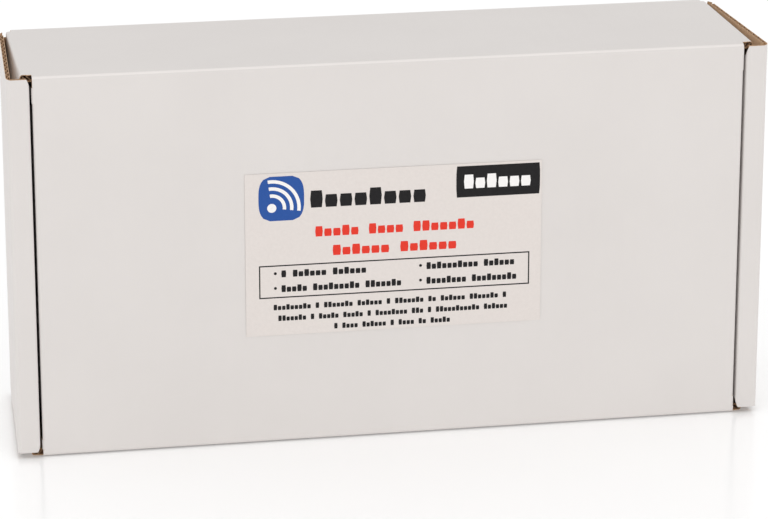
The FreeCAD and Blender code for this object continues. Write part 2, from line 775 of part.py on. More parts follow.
def foam_insert():
    """A block that fills the carton's back, with a pocket for each piece."""
    y1 = foam_front + foam_depth
    z_gap = board + foam_clearance
    foam = box(-foam_half_width, foam_half_width, foam_front, y1, z_gap, carton_height - z_gap)
    y_out = foam_front - 1
    speaker_low = speaker_centre_z - speaker_height / 2
    for cutter in (
        pocket(manual_centre_x, manual_centre_z, manual_width + 1, manual_height, 5.0, 1.0),
        rod(manual_centre_x + manual_width / 2, manual_centre_z, 13, y_out, foam_front + 5.4),
        pocket(module_centre_x, module_centre_z, module_width + 2 * ear_length, module_height,
               module_back + 1.1 - foam_front, 4.4),
        centred(module_centre_x, module_centre_z + module_height / 2, module_width, 14, y_out, module_joint),
        pocket(speaker_centre_x, speaker_centre_z, speaker_width, speaker_height,
               speaker_back + 1 - foam_front, 5.4),
        rod(speaker_centre_x, speaker_centre_z + speaker_height / 2, 9, y_out, foam_front + 12),
        centred(cone_x, speaker_low, 5.0, 5.4, y_out, speaker_joint + 7),
        pocket(bag_centre_x, bag_centre_z, bag_width, bag_height, bag_back - foam_front, 4.0),
    ):
        foam = foam.cut(cutter)
    wide = sleeve_bore_radius + sleeve_wall + sleeve_flange + pocket_clearance
    sleeves_end = foam_front + 4 * sleeve_step + 0.5
    for x in sensor_xs():
        hole = sensor_body_radius + 1.8
        foam = foam.cut(rod(x, sensor_z, hole, foam_front - 1, sensor_back + pocket_clearance))
        foam = foam.cut(rod(x, sensor_z, 3.6, foam_front, sensor_back + 6.5))
        foam = foam.cut(tube(x, sleeve_z, wide, sleeve_bore_radius - 0.5, foam_front - 1, sleeves_end))
    return foam.removeSplitter()


# ---- every piece, written out ----

save("back_panel", back_panel())
save("hinge_wall", hinge_wall())
save("tuck_wall", tuck_wall())
save_pair("tuck_wall_corner", tuck_wall_corner())
save_pair("end_outer_panel", end_outer_panel())
save_pair("end_roll_top", end_roll_top())
save_pair("end_inner_panel", end_inner_panel())
save_pair("hinge_wall_tab", corner_tab(carton_height - board - layer_gap, carton_height - board - tab_length))
save_pair("tuck_wall_tab", corner_tab(board + layer_gap, board + tab_length))

save("lid_panel", lid_panel())
save("lid_label", lid_label())
save_pair("dust_flap", dust_flap())
save("tuck_step", tuck_step())
save("tuck_flap", tuck_flap())

save("foam_insert", foam_insert())

save("module_base", module_base())
save("module_cover", module_cover())
save("module_circuit_board", module_circuit_board())
save("module_components", *module_components())
save("sensor_sockets", *[socket(x) for x in socket_places()[:4]])
save("speaker_socket", socket(socket_places()[4]))
save("power_socket", socket(socket_places()[5]))
save("socket_pins", *[pin for x in socket_places() for pin in socket_pins(x)])
save("module_screws", *[module_screw(x, z) for x, z in module_posts()])
save("module_adhesive_pad", module_adhesive_pad())

for name, make in (("sensor_housings", sensor_housing), ("sensor_transducers", sensor_transducer),
                   ("sensor_seal_rings", sensor_seal_ring), ("sensor_piezo_discs", sensor_piezo),
                   ("sensor_potting", sensor_potting), ("sensor_lead_glands", sensor_gland)):
    save(name, *[make(x) for x in sensor_xs()])

sleeve_names = ("straight", "slight_angle", "medium_angle", "steep_angle")
for x, angle, name in zip(sensor_xs(), sleeve_angles, sleeve_names):
    save(name + "_sleeves", *[sleeve(x, angle, place) for place in range(4)])

save("speaker_base", speaker_base())
save("speaker_cover", speaker_cover())
save("speaker_cone", speaker_cone())
save("speaker_frame", speaker_frame())
save("speaker_magnet", speaker_magnet())
save("speaker_lead_gland", speaker_gland())
save("volume_switch_body", volume_switch_body())
save("volume_slider", volume_slider())
save("speaker_screws", *[speaker_screw(x, z) for x, z in speaker_screw_places()])
save("speaker_adhesive_pad", speaker_adhesive_pad())

save("hardware_bag", hardware_bag())
save("bag_screws", *[bag_screw(i) for i in range(bag_screw_count)])
save("wire_taps", *[wire_tap(i) for i in range(wire_tap_count)])
save("cable_ties", *[cable_tie(i) for i in range(cable_tie_count)])

installation_front = foam_front + 5.3 - installation_thickness
user_front = foam_front + 5.1 - installation_thickness - user_thickness
save("installation_manual", manual(installation_front, installation_thickness))
save("user_manual", manual(user_front, user_thickness))
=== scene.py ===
import json
import math
import bpy
import numpy as np
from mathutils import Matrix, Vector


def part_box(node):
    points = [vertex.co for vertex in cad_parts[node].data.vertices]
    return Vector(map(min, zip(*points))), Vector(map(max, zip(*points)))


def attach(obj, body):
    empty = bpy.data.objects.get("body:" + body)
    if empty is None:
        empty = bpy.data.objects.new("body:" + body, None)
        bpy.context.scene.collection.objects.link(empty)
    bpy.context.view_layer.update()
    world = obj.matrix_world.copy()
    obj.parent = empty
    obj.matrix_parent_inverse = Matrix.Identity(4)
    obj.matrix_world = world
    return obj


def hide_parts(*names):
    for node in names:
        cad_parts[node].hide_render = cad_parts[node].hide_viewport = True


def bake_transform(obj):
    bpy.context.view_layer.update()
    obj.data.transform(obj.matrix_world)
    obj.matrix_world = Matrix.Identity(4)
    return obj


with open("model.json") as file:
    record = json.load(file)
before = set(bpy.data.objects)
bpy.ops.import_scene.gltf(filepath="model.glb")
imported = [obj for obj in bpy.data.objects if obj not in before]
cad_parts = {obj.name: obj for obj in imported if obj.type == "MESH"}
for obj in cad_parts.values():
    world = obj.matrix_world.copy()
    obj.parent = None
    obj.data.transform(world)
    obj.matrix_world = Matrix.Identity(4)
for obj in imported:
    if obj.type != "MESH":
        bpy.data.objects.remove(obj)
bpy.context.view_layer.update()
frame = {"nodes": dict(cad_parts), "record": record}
nodes = frame["nodes"]
mm = 0.001      # all sizes below are in millimetres unless a note says otherwise
print("frame loaded")


def boxOf(node):  # a node's lowest and highest corners, in millimetres
    low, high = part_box(node)
    return np.array(low) / mm, np.array(high) / mm


camera = {
    "lens": 165.9,
    "sensor": 36.0,
    "distance": 1531.0,
    "azimuth": -10.46,      # degrees, from straight in front of the lid
    "elevation": 17.75,
    "aim": (-4.5, -41.5, 81.2),
}
studio = {                  # lengths in metres
    "floorSize": 9.0,
    "floorTone": 0.97,
    "floorGloss": 0.15,
    "floorGlow": 0.10,
    "worldTone": 1.0,
    "zenithTone": 0.84,
    "lightAim": (0, 0, 0.08),
    "softboxFront": {"place": (0.9, -2.2, 0.9), "size": (1.6, 1.4), "power": 8.0, "tone": (1.0, 0.98, 0.965)},
    "softboxLeft": {"place": (-2.2, -0.6, 0.9), "size": (1.4, 1.2), "power": 5.5, "tone": (1.0, 1.0, 1.0)},
}


def placeAimed(name, data, place, direction):
    # a camera or lamp at place, in metres, that looks along direction
    made = bpy.data.objects.new(name, data)
    bpy.context.scene.collection.objects.link(made)
    made.location = place
    made.rotation_mode = "QUATERNION"
    made.rotation_quaternion = Vector(direction).to_track_quat("-Z", "Y")
    return made


def placeCamera():
    # stands at aim + distance * (sin turn cos rise, -cos turn cos rise, sin rise) and looks back at the aim
    turn = math.radians(camera["azimuth"])
    rise = math.radians(camera["elevation"])
    away = np.array([math.sin(turn) * math.cos(rise), -math.cos(turn) * math.cos(rise), math.sin(rise)])
    data = bpy.data.cameras.new("camera")
    data.lens = camera["lens"]
    data.sensor_width = camera["sensor"]
    data.clip_end = 50.0
    place = (np.array(camera["aim"]) + away * camera["distance"]) * mm
    bpy.context.scene.camera = placeAimed("camera", data, place, -away)


def placeSoftbox(name):
    look = studio[name]
    data = bpy.data.lights.new(name, "AREA")
    data.shape = "RECTANGLE"
    data.size, data.size_y = look["size"]
    data.energy = look["power"]
    data.color = look["tone"]
    placeAimed(name, data, look["place"], Vector(studio["lightAim"]) - Vector(look["place"]))


def placeStudio():
    # an even world, a little darker overhead, and two softboxes
    world = bpy.data.worlds.new("studio")
    bpy.context.scene.world = world
    world.use_nodes = True
    nodeSet, links = world.node_tree.nodes, world.node_tree.links
    height = splitPlace(nodeSet, links, "Generated")["Z"]
    stops = [(0.15, (studio["worldTone"],) * 3), (0.95, (studio["zenithTone"],) * 3)]
    addRamp(nodeSet, links, height, stops, nodeSet["Background"].inputs["Color"])
    placeSoftbox("softboxFront")
    placeSoftbox("softboxLeft")
    bpy.context.scene.view_settings.view_transform = "Standard"
    print("camera and studio placed")


def newMaterial(name):
    # a node material, its nodes, its links and its shader
    made = bpy.data.materials.new(name)
    made.use_nodes = True
    return made, made.node_tree.nodes, made.node_tree.links, made.node_tree.nodes["Principled BSDF"]


def setSockets(shader, **values):
    names = {
        "color": "Base Color", "roughness": "Roughness", "metallic": "Metallic", "alpha": "Alpha",
        "specular": "Specular IOR Level", "sheen": "Sheen Weight",
        "glowColor": "Emission Color", "glow": "Emission Strength",
    }
    for key, value in values.items():
        shader.inputs[names[key]].default_value = value


def splitPlace(nodeSet, links, kind):
    # the three coordinates of a place, each on its own
    place = nodeSet.new("ShaderNodeTexCoord")
    split = nodeSet.new("ShaderNodeSeparateXYZ")
    links.new(place.outputs[kind], split.inputs[0])
    return split.outputs


def addNoise(nodeSet, links, scale, detail=3.0, roughness=0.5, stretch=(1.0, 1.0, 1.0)):
    # noise on object coordinates; scale is in waves per metre
    place = nodeSet.new("ShaderNodeTexCoord")
    mapping = nodeSet.new("ShaderNodeMapping")
    mapping.inputs["Scale"].default_value = stretch
    noise = nodeSet.new("ShaderNodeTexNoise")
    noise.inputs["Scale"].default_value = scale
    noise.inputs["Detail"].default_value = detail
    noise.inputs["Roughness"].default_value = roughness
    links.new(place.outputs["Object"], mapping.inputs["Vector"])
    links.new(mapping.outputs["Vector"], noise.inputs["Vector"])
    return noise


def addRamp(nodeSet, links, source, stops, target):
    # stops are (place, tone); the ramp's tone goes to the target socket
    ramp = nodeSet.new("ShaderNodeValToRGB")
    while len(ramp.color_ramp.elements) < len(stops):
        ramp.color_ramp.elements.new(0.5)
    for element, (place, tone) in zip(ramp.color_ramp.elements, stops):
        element.position = place
        element.color = (*tone, 1.0)
    links.new(source, ramp.inputs["Fac"])
    links.new(ramp.outputs["Color"], target)


def addBump(nodeSet, links, shader, height, distance, strength=1.0, before=None):
    # distance is in metres; before is a bump that this one is added to
    bump = nodeSet.new("ShaderNodeBump")
    bump.inputs["Distance"].default_value = distance
    bump.inputs["Strength"].default_value = strength
    links.new(height, bump.inputs["Height"])
    if before is not None:
        links.new(before.outputs["Normal"], bump.inputs["Normal"])
    links.new(bump.outputs["Normal"], shader.inputs["Normal"])
    return bump


def addMath(nodeSet, links, kind, *operands):
    # operands are numbers or other nodes' outputs
    worked = nodeSet.new("ShaderNodeMath")
    worked.operation = kind
    for socket, value in zip(worked.inputs, operands):
        if isinstance(value, (int, float)):
            socket.default_value = value
        else:
            links.new(value, socket)
    return worked.outputs[0]


boardLook = {
    "white": (0.725, 0.690, 0.668),
    "whiteDeep": (0.695, 0.660, 0.638),
    "foldHighlightGain": 1.13,      # painted highlight: the white board's tone along the lid's fold is raised by this factor
    "foldHighlightWidth": 1.3,
    "kraft": (0.585, 0.375, 0.215),
    "kraftDark": (0.385, 0.237, 0.125),
    "flutePitch": 6.4,
    "cloudScale": 14.0,     # waves per metre
    "fibreScale": 900.0,
    "kraftFibreScale": 1500.0,
    "washboard": 0.000028,  # heights in metres
    "fibre": 0.000012,
    "kraftFibre": 0.00003,
}
whiteSlot, kraftSlot, fluteSlot, highlightSlot = range(4)     # the board's materials, in this order; the last paints a highlight along the lid's fold


def whiteBoard(name, across, paler=1.0):
    # coated liner: faint cloudy tone and fine fibres; the flutes show through as waves, whose height is
    # washboard * cos(2 pi place / pitch), with the place taken across the flutes
    # paler scales both tones up; the lid's fold uses it to paint a highlight
    made, nodeSet, links, shader = newMaterial(name)
    setSockets(shader, roughness=0.62, specular=0.35, sheen=0.08)
    cloud = addNoise(nodeSet, links, boardLook["cloudScale"], 4.0, 0.6)
    deep, light = (tuple(c * paler for c in boardLook[key]) for key in ("whiteDeep", "white"))
    addRamp(nodeSet, links, cloud.outputs["Fac"], [(0.25, deep), (0.75, light)], shader.inputs["Base Color"])
    fibres = addNoise(nodeSet, links, boardLook["fibreScale"], 5.0, 0.65)
    fibreBump = addBump(nodeSet, links, shader, fibres.outputs["Fac"], boardLook["fibre"], 0.7)
    places = splitPlace(nodeSet, links, "Object")
    radiansPerMetre = 2 * math.pi / (boardLook["flutePitch"] * mm)
    phase = addMath(nodeSet, links, "MULTIPLY", places[across], radiansPerMetre)
    wave = addMath(nodeSet, links, "COSINE", phase)
    addBump(nodeSet, links, shader, wave, boardLook["washboard"], 0.5, fibreBump)
    return made


def kraftPaper(name):
    # brown liner with long fibres and specks
    made, nodeSet, links, shader = newMaterial(name)
    setSockets(shader, roughness=0.85, specular=0.2, sheen=0.15)
    fibres = addNoise(nodeSet, links, boardLook["kraftFibreScale"], 5.0, 0.65, (1.0, 0.4, 0.3))
    light = boardLook["kraft"]
    middle = tuple((a + b) / 2 for a, b in zip(light, boardLook["kraftDark"]))
    stops = [(0.30, middle), (0.66, light)]
    addRamp(nodeSet, links, fibres.outputs["Fac"], stops, shader.inputs["Base Color"])
    addBump(nodeSet, links, shader, fibres.outputs["Fac"], boardLook["kraftFibre"], 0.6)
    return made


def boardMaterials(across):
    # white outside, kraft inside and kraft flutes; across is the axis that crosses the flutes
    names = ["kraftLiner" + across, "kraftFlute" + across]
    return [whiteBoard("whiteBoard" + across, across)] + [kraftPaper(name) for name in names]


def gridFaces(rows, columns, start=0):
    # quads between neighbouring points of a rows by columns grid
    i, j = np.meshgrid(np.arange(rows - 1), np.arange(columns - 1), indexing="ij")
    corner = start + i * columns + j
    return np.stack([corner, corner + columns, corner + columns + 1, corner + 1], axis=-1).reshape(-1, 4)


def facingOut(points, faces):
    # turns every face round if the skin is inside out: its volume is the sum of the signed volumes of the
    # cones from the middle to each half of every quad
    a, b, c, d = (points[faces[:, k]] - points.mean(axis=0) for k in range(4))
    halves = np.einsum("ij,ij->i", a, np.cross(b, c)) + np.einsum("ij,ij->i", a, np.cross(c, d))
    return faces[:, ::-1] if halves.sum() < 0 else faces


def closedSkin(top, bottom, topSlot=0, restSlot=0):
    # two grids of points joined by a rim all the way round; returns points, faces and a slot for each face
    rows, columns = top.shape[:2]
    count = rows * columns
    points = np.concatenate([top.reshape(-1, 3), bottom.reshape(-1, 3)])
    upper = gridFaces(rows, columns)
    lower = gridFaces(rows, columns, count)[:, ::-1]
    index = np.arange(count).reshape(rows, columns)
    loop = np.concatenate([index[:-1, 0], index[-1, :-1], index[:0:-1, -1], index[0, :0:-1]])
    following = np.roll(loop, -1)
    rim = np.stack([following, loop, loop + count, following + count], axis=-1)
    faces = facingOut(points, np.concatenate([upper, lower, rim]))
    slots = np.full(len(faces), restSlot)
    slots[:len(upper)] = topSlot
    return points, faces, slots


def makePiece(name, parts, materials, body=None, replaced=(), sharpAngle=38.0):
    # parts are (points in millimetres, faces, slots); they become one mesh
    offsets = np.cumsum([0] + [len(p[0]) for p in parts[:-1]])
    points = np.concatenate([p[0] for p in parts]) * mm
    faces = np.concatenate([p[1] + o for p, o in zip(parts, offsets)])
    slots = np.concatenate([p[2] for p in parts])
    mesh = bpy.data.meshes.new(name)
    mesh.vertices.add(len(points))
    mesh.vertices.foreach_set("co", points.astype(np.float32).ravel())
    mesh.loops.add(faces.size)
    mesh.loops.foreach_set("vertex_index", faces.astype(np.int32).ravel())
    mesh.polygons.add(len(faces))
    mesh.polygons.foreach_set("loop_start", np.arange(0, faces.size, 4, dtype=np.int32))
    mesh.polygons.foreach_set("material_index", slots.astype(np.int32))
    mesh.update(calc_edges=True)
    mesh.validate()
    mesh.shade_smooth()
    mesh.set_sharp_from_angle(angle=math.radians(sharpAngle))
    for material in materials:
        mesh.materials.append(material)
    piece = bpy.data.objects.new(name, mesh)
    bpy.context.scene.collection.objects.link(piece)
    if body:
        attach(piece, body)
    if replaced:
        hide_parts(*replaced)
    return piece


arcPoints = 9       # points on each fold's arc


def unit(vector):
    return vector / np.linalg.norm(vector)


def leftOf(direction):
    return np.array([-direction[1], direction[0]])


def foldedPath(corners, radius, crush=0.62):
    # a run through the corners with an arc at each fold, its outward normals, and how far the board is
    # crushed there; an arc's points are centre - normal * radius, with the normal turned in even steps
    corners = [np.array(c, float) for c in corners]
    first, last = unit(corners[1] - corners[0]), unit(corners[-1] - corners[-2])
    points, normals, thin = [corners[0]], [leftOf(first)], [1.0]
    radii = np.broadcast_to(radius, len(corners) - 2)
    for before, corner, after, bend in zip(corners, corners[1:], corners[2:], radii):
        comeIn, goOut = unit(corner - before), unit(after - corner)
        turn = math.acos(np.clip(comeIn @ goOut, -1, 1))
        side = np.sign(comeIn[0] * goOut[1] - comeIn[1] * goOut[0])
        centre = corner - comeIn * (bend * math.tan(turn / 2)) + leftOf(comeIn) * side * bend
        for share in np.linspace(0, 1, arcPoints):
            normal = unit(leftOf(comeIn) * (1 - share) + leftOf(goOut) * share)
            points.append(centre - normal * side * bend)
            normals.append(normal)
            thin.append(crush if turn > 1.0 else 1.0)
    points.append(corners[-1])
    normals.append(leftOf(last))
    thin.append(1.0)
    steps = np.linalg.norm(np.diff(points, axis=0), axis=1)
    run = np.concatenate([[0], np.cumsum(steps)])
    return {"run": run, "points": np.array(points), "normals": np.array(normals), "thin": np.array(thin),
            "length": run[-1]}


def foldRun(path, fold):
    # where a fold's arc starts and ends along the path
    return path["run"][1 + arcPoints * fold], path["run"][arcPoints * (fold + 1)]


def alongPath(path, s, depth):
    # the point at run s, at a depth under the outer face: place - normal * depth * how far it is crushed
    at = [np.interp(s, path["run"], path["points"][:, k]) for k in (0, 1)]
    normal = [np.interp(s, path["run"], path["normals"][:, k]) for k in (0, 1)]
    thin = np.interp(s, path["run"], path["thin"])
    return at[0] - normal[0] * depth * thin, at[1] - normal[1] * depth * thin


def pathSamples(path, step):
    # places along the run that keep every arc point and add more on the long runs
    added = np.arange(0, path["length"], step)
    return np.unique(np.round(np.concatenate([path["run"], added]), 3))


def pathShares(path, count):
    # the same as shares of the whole run, from 0 to 1
    return np.unique(np.concatenate([np.linspace(0, 1, count), path["run"] / path["length"]]))


board = {"thickness": 3.0, "liner": 0.34, "flute": 0.22, "waveSteps": 8}


def boardParts(surface, sSamples, tSamples, span):
    # outer liner, inner liner and the fluted sheet between them; surface gives the place at s, t and a depth
    # under the outer face, and the fluted sheet's depth is half the thickness + height * cos(2 pi s / pitch)
    thickness, liner, flute = board["thickness"], board["liner"], board["flute"]
    s, t = np.meshgrid(sSamples, tSamples, indexing="ij")

    def sheet(upper, lower, topSlot, restSlot):
        return closedSkin(surface(s, t, 0 * s + upper), surface(s, t, 0 * s + lower), topSlot, restSlot)

    outer = sheet(0, liner, whiteSlot, kraftSlot)
    inner = sheet(thickness - liner, thickness, kraftSlot, kraftSlot)
    pitch = boardLook["flutePitch"]
    acrossFlutes = np.arange(span[0], span[1] + 1e-6, pitch / board["waveSteps"])
    alongFlutes = tSamples[::max(1, len(tSamples) // 6)]
    if alongFlutes[-1] != tSamples[-1]:
        alongFlutes = np.append(alongFlutes, tSamples[-1])
    s, t = np.meshgrid(acrossFlutes, alongFlutes, indexing="ij")
    height = thickness / 2 - liner - flute / 2
    middle = thickness / 2 + height * np.cos(2 * math.pi * s / pitch)
    return [outer, inner, sheet(middle - flute / 2, middle + flute / 2, fluteSlot, fluteSlot)]


lidLow, lidHigh = boxOf("lid_panel")
hingeLow, hingeHigh = boxOf("hinge_wall")
rollLow, rollHigh = boxOf("right_end_roll_top")
endLow, endHigh = boxOf("right_end_outer_panel")
innerLow, innerHigh = boxOf("right_end_inner_panel")
backLow, backHigh = boxOf("back_panel")
flapLow, flapHigh = boxOf("right_dust_flap")
tabLow, tabHigh = boxOf("right_hinge_wall_tab")
tuckHigh = boxOf("tuck_flap")[1]
tuckTabHigh = boxOf("right_tuck_wall_tab")[1]

frontFace = lidLow[1]
backFace = backHigh[1]
topFace = hingeHigh[2]
lidHalf = lidHigh[0]
thick = board["thickness"]
rearHalf = backHigh[0] + thick      # outer face of an end wall at the back panel
frontHalf = rollHigh[0]


def endWallX(y):  # outer face of the right end wall, which leans in towards the back
    return frontHalf + (rearHalf - frontHalf) * (y - frontFace) / (backFace - frontFace)


def sideBySide(surface, way):
    # a surface on the right (way = 1), or its mirror image on the left (way = -1)
    def placed(s, t, depth):
        points = surface(s, t, depth)
        points[..., 0] *= way
        return points
    return placed


def stacked(x, y, z):  # three arrays of places as one array of points
    return np.stack(np.broadcast_arrays(x, y, z), axis=-1).astype(float)


wallLook = {
    "foldRadius": 1.9,      # an end wall's outer front edge
    "slitRadius": 1.1,      # its edge beside the lid
    "backRadius": 0.9,
    "tabRadius": 1.1,
    "creaseRadius": 2.3,    # the lid's long fold
    "tuckRadius": 1.5,
    "lidEdge": 1.4,         # the lid's other folds
    "rollSwell": 0.45,      # how far a rolled edge stands into the slit
    "bow": 0.25,            # how far a panel sinks in the middle
    "turnIn": 5.2,          # strip of the end wall that lies behind the back panel's edge
    "innerGap": 0.3,
    "slotGap": 0.3,
    "lockTabPlace": 38.0,   # a lock tab's middle, from the back panel's middle
    "lockTabHalf": 11.0,
    "tuckRecess": 4.7,      # the tuck wall's front edge stands back by this much behind the tuck flap
    "lidCrush": 0.66,       # the board's thickness left at the lid's folds
}


def endWall(way, materials):
    # one sheet from the back fold over the rolled edge and down inside, carried up the carton's height:
    # place = path at run s, height = low edge + (high edge - low edge) * t, less a shallow double sine
    side = "right" if way > 0 else "left"
    insideFront = rollLow[0] - wallLook["rollSwell"]
    insideBack = insideFront - (frontHalf - rearHalf) * (innerHigh[1] - frontFace) / (backFace - frontFace)
    innerEnd = backLow[1] - wallLook["innerGap"]
    corners = [(rearHalf - wallLook["turnIn"], backFace), (rearHalf, backFace), (frontHalf, frontFace),
               (insideFront, frontFace), (insideBack, innerEnd)]
    path = foldedPath(corners, [wallLook[fold + "Radius"] for fold in ("back", "fold", "slit")])
    backEnd = foldRun(path, 0)[1]
    frontStart, frontEnd = foldRun(path, 1)
    rollStart, rollEnd = foldRun(path, 2)
    edges = np.array([      # run, low edge, high edge
        (0, 3.4, topFace - 3.3), (backEnd, 3.2, topFace - 3.3), (backEnd + 1, endLow[2], endHigh[2]),
        (frontStart, endLow[2], endHigh[2]), (frontEnd, rollLow[2], rollHigh[2]),
        (rollStart, rollLow[2], rollHigh[2]), (rollEnd, 6.0, topFace - 5.0),
        (rollEnd + 9, innerLow[2], innerHigh[2]), (path["length"], innerLow[2], innerHigh[2])])

    def wall(s, t, depth):
        x, y = alongPath(path, s, depth)
        low, high = (np.interp(s, edges[:, 0], edges[:, k]) for k in (1, 2))
        bulge = wallLook["bow"] * np.sin(math.pi * t) * np.sin(math.pi * np.clip(s / frontStart, 0, 1))
        return stacked((x - bulge) * way, y, low + (high - low) * t)

    parts = boardParts(wall, pathSamples(path, 6.0), np.linspace(0, 1, 25), (0.5, path["length"] - 0.5))
    for low, high in lockTabLevels():
        def lockTab(s, t, depth):
            y = innerEnd + (backFace - 0.5 - innerEnd) * s
            x = endWallX(y) - (frontHalf - insideFront) + depth
            return stacked(x * way, y, low + (high - low) * t)
        parts += boardParts(lockTab, np.linspace(0, 1, 3), np.linspace(0, 1, 3), (0, 0.99))
    names = [side + "_end_" + part for part in ("outer_panel", "roll_top", "inner_panel")]
    return makePiece(side + "EndWall", parts, materials, "carton", names)


def lockTabLevels():
    # heights of the two tabs that each inner panel has through the back panel
    middle = (backLow[2] + backHigh[2]) / 2
    place, half = wallLook["lockTabPlace"], wallLook["lockTabHalf"]
    return [(middle + way * place - half, middle + way * place + half) for way in (-1, 1)]


def backPanel(materials):
    # a flat sheet, split into columns and rows around the lock slots; it sinks by bow * cos across * sin up
    half = rearHalf - wallLook["turnIn"]
    slotInner = rearHalf - (frontHalf - rollLow[0]) - 0.4
    low, high = topFace - backHigh[2] + 0.1, backHigh[2] - 0.1

    def flat(x0, x1, z0, z1):
        def surface(s, t, depth):
            z = z0 + (z1 - z0) * t
            upright = np.sin(math.pi * (z - low) / (high - low))
            dip = wallLook["bow"] * np.cos(0.5 * math.pi * s / half) * upright
            return stacked(s, backFace - depth - dip, z)
        strips = max(2, round((x1 - x0) / 8))
        across = np.arange(x0, x1 + 0.01, (x1 - x0) / strips)
        return boardParts(surface, across, np.linspace(0, 1, 19), (x0, x1))

    parts = flat(-slotInner, slotInner, low, high)
    gap, (lower, upper) = wallLook["slotGap"], lockTabLevels()
    rows = [(low, lower[0] - gap), (lower[1] + gap, upper[0] - gap), (upper[1] + gap, high)]
    for way in (-1, 1):
        x0, x1 = sorted((way * slotInner, way * half))
        for z0, z1 in rows:
            parts += flat(x0, x1, z0, z1)
    return makePiece("backPanel", parts, materials, "carton", ["back_panel"])


def tabPath(y, face, tabEnd, flatHalf):
    # the end of the hinge or tuck wall folding down into the tab, in the slice at y
    x = endWallX(y) - thick - 0.1
    step = max(0.3, x - hingeHigh[0] - 0.1)
    corners = [(flatHalf, 0), (hingeHigh[0] + 0.3, 0), (x, -3.6 - step * 1.3), (x, -abs(tabEnd - face))]
    return foldedPath(corners, wallLook["tabRadius"])


def wallWithTabs(name, up, tabEnd, replaced, materials):
    # the hinge wall (up = 1) or the tuck wall (up = -1): a top sheet that turns down over the back edge,
    # and at each end a fold into the tab inside the end wall
    face = topFace if up > 0 else 0.0
    flatHalf = hingeHigh[0] - 2.0
    frontEdge = hingeLow[1] + 3.3
    backEdge = backFace - frontEdge
    path = foldedPath([(0, 0), (backEdge, 0), (backEdge, -thick - 0.2)], wallLook["backRadius"])
    recess = 0.0 if up > 0 else wallLook["tuckRecess"]
    recessHalf = tuckHigh[0] + 1.5

    def top(s, t, depth):  # place = front edge + run, sunk by bow * cos across * sin along
        start = np.where(np.abs(s) < recessHalf, recess, 0.0)
        along, height = alongPath(path, start + (path["length"] - start) * t, depth)
        inward = np.sin(math.pi * np.clip(along / 80, 0, 1))
        dip = wallLook["bow"] * np.cos(0.5 * math.pi * s / flatHalf) * inward
        return stacked(s, frontEdge + along, face + up * (height - dip))

    recessEnds = [way * (recessHalf + d) for way in (-1, 1) for d in (-0.05, 0.05)]
    across = np.unique(np.concatenate([np.linspace(-flatHalf, flatHalf, 41), recessEnds]))
    parts = boardParts(top, across, pathShares(path, 15), (-flatHalf, flatHalf))

    tabDepth = abs(tabEnd - face)
    nearPath = tabPath(tabLow[1], face, tabEnd, flatHalf)
    farPath = tabPath(tabHigh[1], face, tabEnd, flatHalf)

    def tab(s, t, depth):
        # a straight blend from the near slice to the far one, whose last 12 mm are cut in by up to 9 mm
        share = s / nearPath["length"]
        nearX, nearZ = alongPath(nearPath, share * nearPath["length"], depth)
        farX, farZ = alongPath(farPath, share * farPath["length"], depth)
        cut = 9.0 * np.clip((share * tabDepth - tabDepth + 12) / 12, 0, 1)
        low, high = tabLow[1] + cut, tabHigh[1] - cut
        y = low + (high - low) * t
        blend = (y - tabLow[1]) / (tabHigh[1] - tabLow[1])
        return stacked(nearX + (farX - nearX) * blend, y, face + up * (nearZ + (farZ - nearZ) * blend))

    samples = pathSamples(nearPath, 8.0)
    for way in (-1, 1):
        span = (0.2, nearPath["length"] - 0.2)
        parts += boardParts(sideBySide(tab, way), samples, np.linspace(0, 1, 9), span)
    return makePiece(name, parts, materials, "carton", replaced)


sideCrease, footCrease, topCrease = 2.4, 2.8, 1.8     # from the lid's edges in to its flat sheet
flapStart = 5.0     # the dust flaps' flat sheets start this far behind the lid's face
seam = 0.01


def lidPanel(materials):
    # the flat sheet between the creases, sunk by bow * cos across * sin up, with its four bare corners
    flatHalf = lidHalf - sideCrease
    low, high = lidLow[2] + footCrease, lidHigh[2] - topCrease

    def flat(s, t, depth):
        z = low + (high - low) * t
        upright = np.sin(math.pi * z / topFace)
        dip = wallLook["bow"] * np.cos(0.5 * math.pi * np.clip(s / lidHalf, -1, 1)) * upright
        return stacked(s, frontFace + depth + dip, z)

    across = np.linspace(-flatHalf, flatHalf, 41)
    parts = boardParts(flat, across, np.linspace(0, 1, 25), (-flatHalf, flatHalf))
    # the corners have no flap: their edges are crushed round like the creases beside them
    edge, crush, inside = wallLook["lidEdge"], wallLook["lidCrush"], lidHigh[1] - 0.1
    side = foldedPath([(lidHalf, inside), (lidHalf, frontFace), (flatHalf, frontFace)], edge, crush)
    foot = foldedPath([(inside, lidLow[2]), (frontFace, lidLow[2]), (frontFace, low)], edge, crush)
    for way in (-1, 1):
        for z0, z1 in ((flapHigh[2] + seam, high), (low, flapLow[2] - seam)):
            def upright(s, t, depth):
                x, y = alongPath(side, s, depth)
                return stacked(way * x, y, z0 + (z1 - z0) * t)
            parts += boardParts(upright, pathSamples(side, 2.0), np.linspace(0, 1, 3), (0, side["length"]))

        def lower(s, t, depth):
            y, z = alongPath(foot, t * foot["length"], depth)
            return stacked(way * s, y, z)
        across = np.linspace(tuckHigh[0] + seam, lidHalf - 0.3, 4)
        parts += boardParts(lower, across, pathShares(foot, 5), (tuckHigh[0] + 0.2, lidHalf - 0.4))
    return makePiece("lidPanel", parts, materials, "lid", ["lid_panel"])


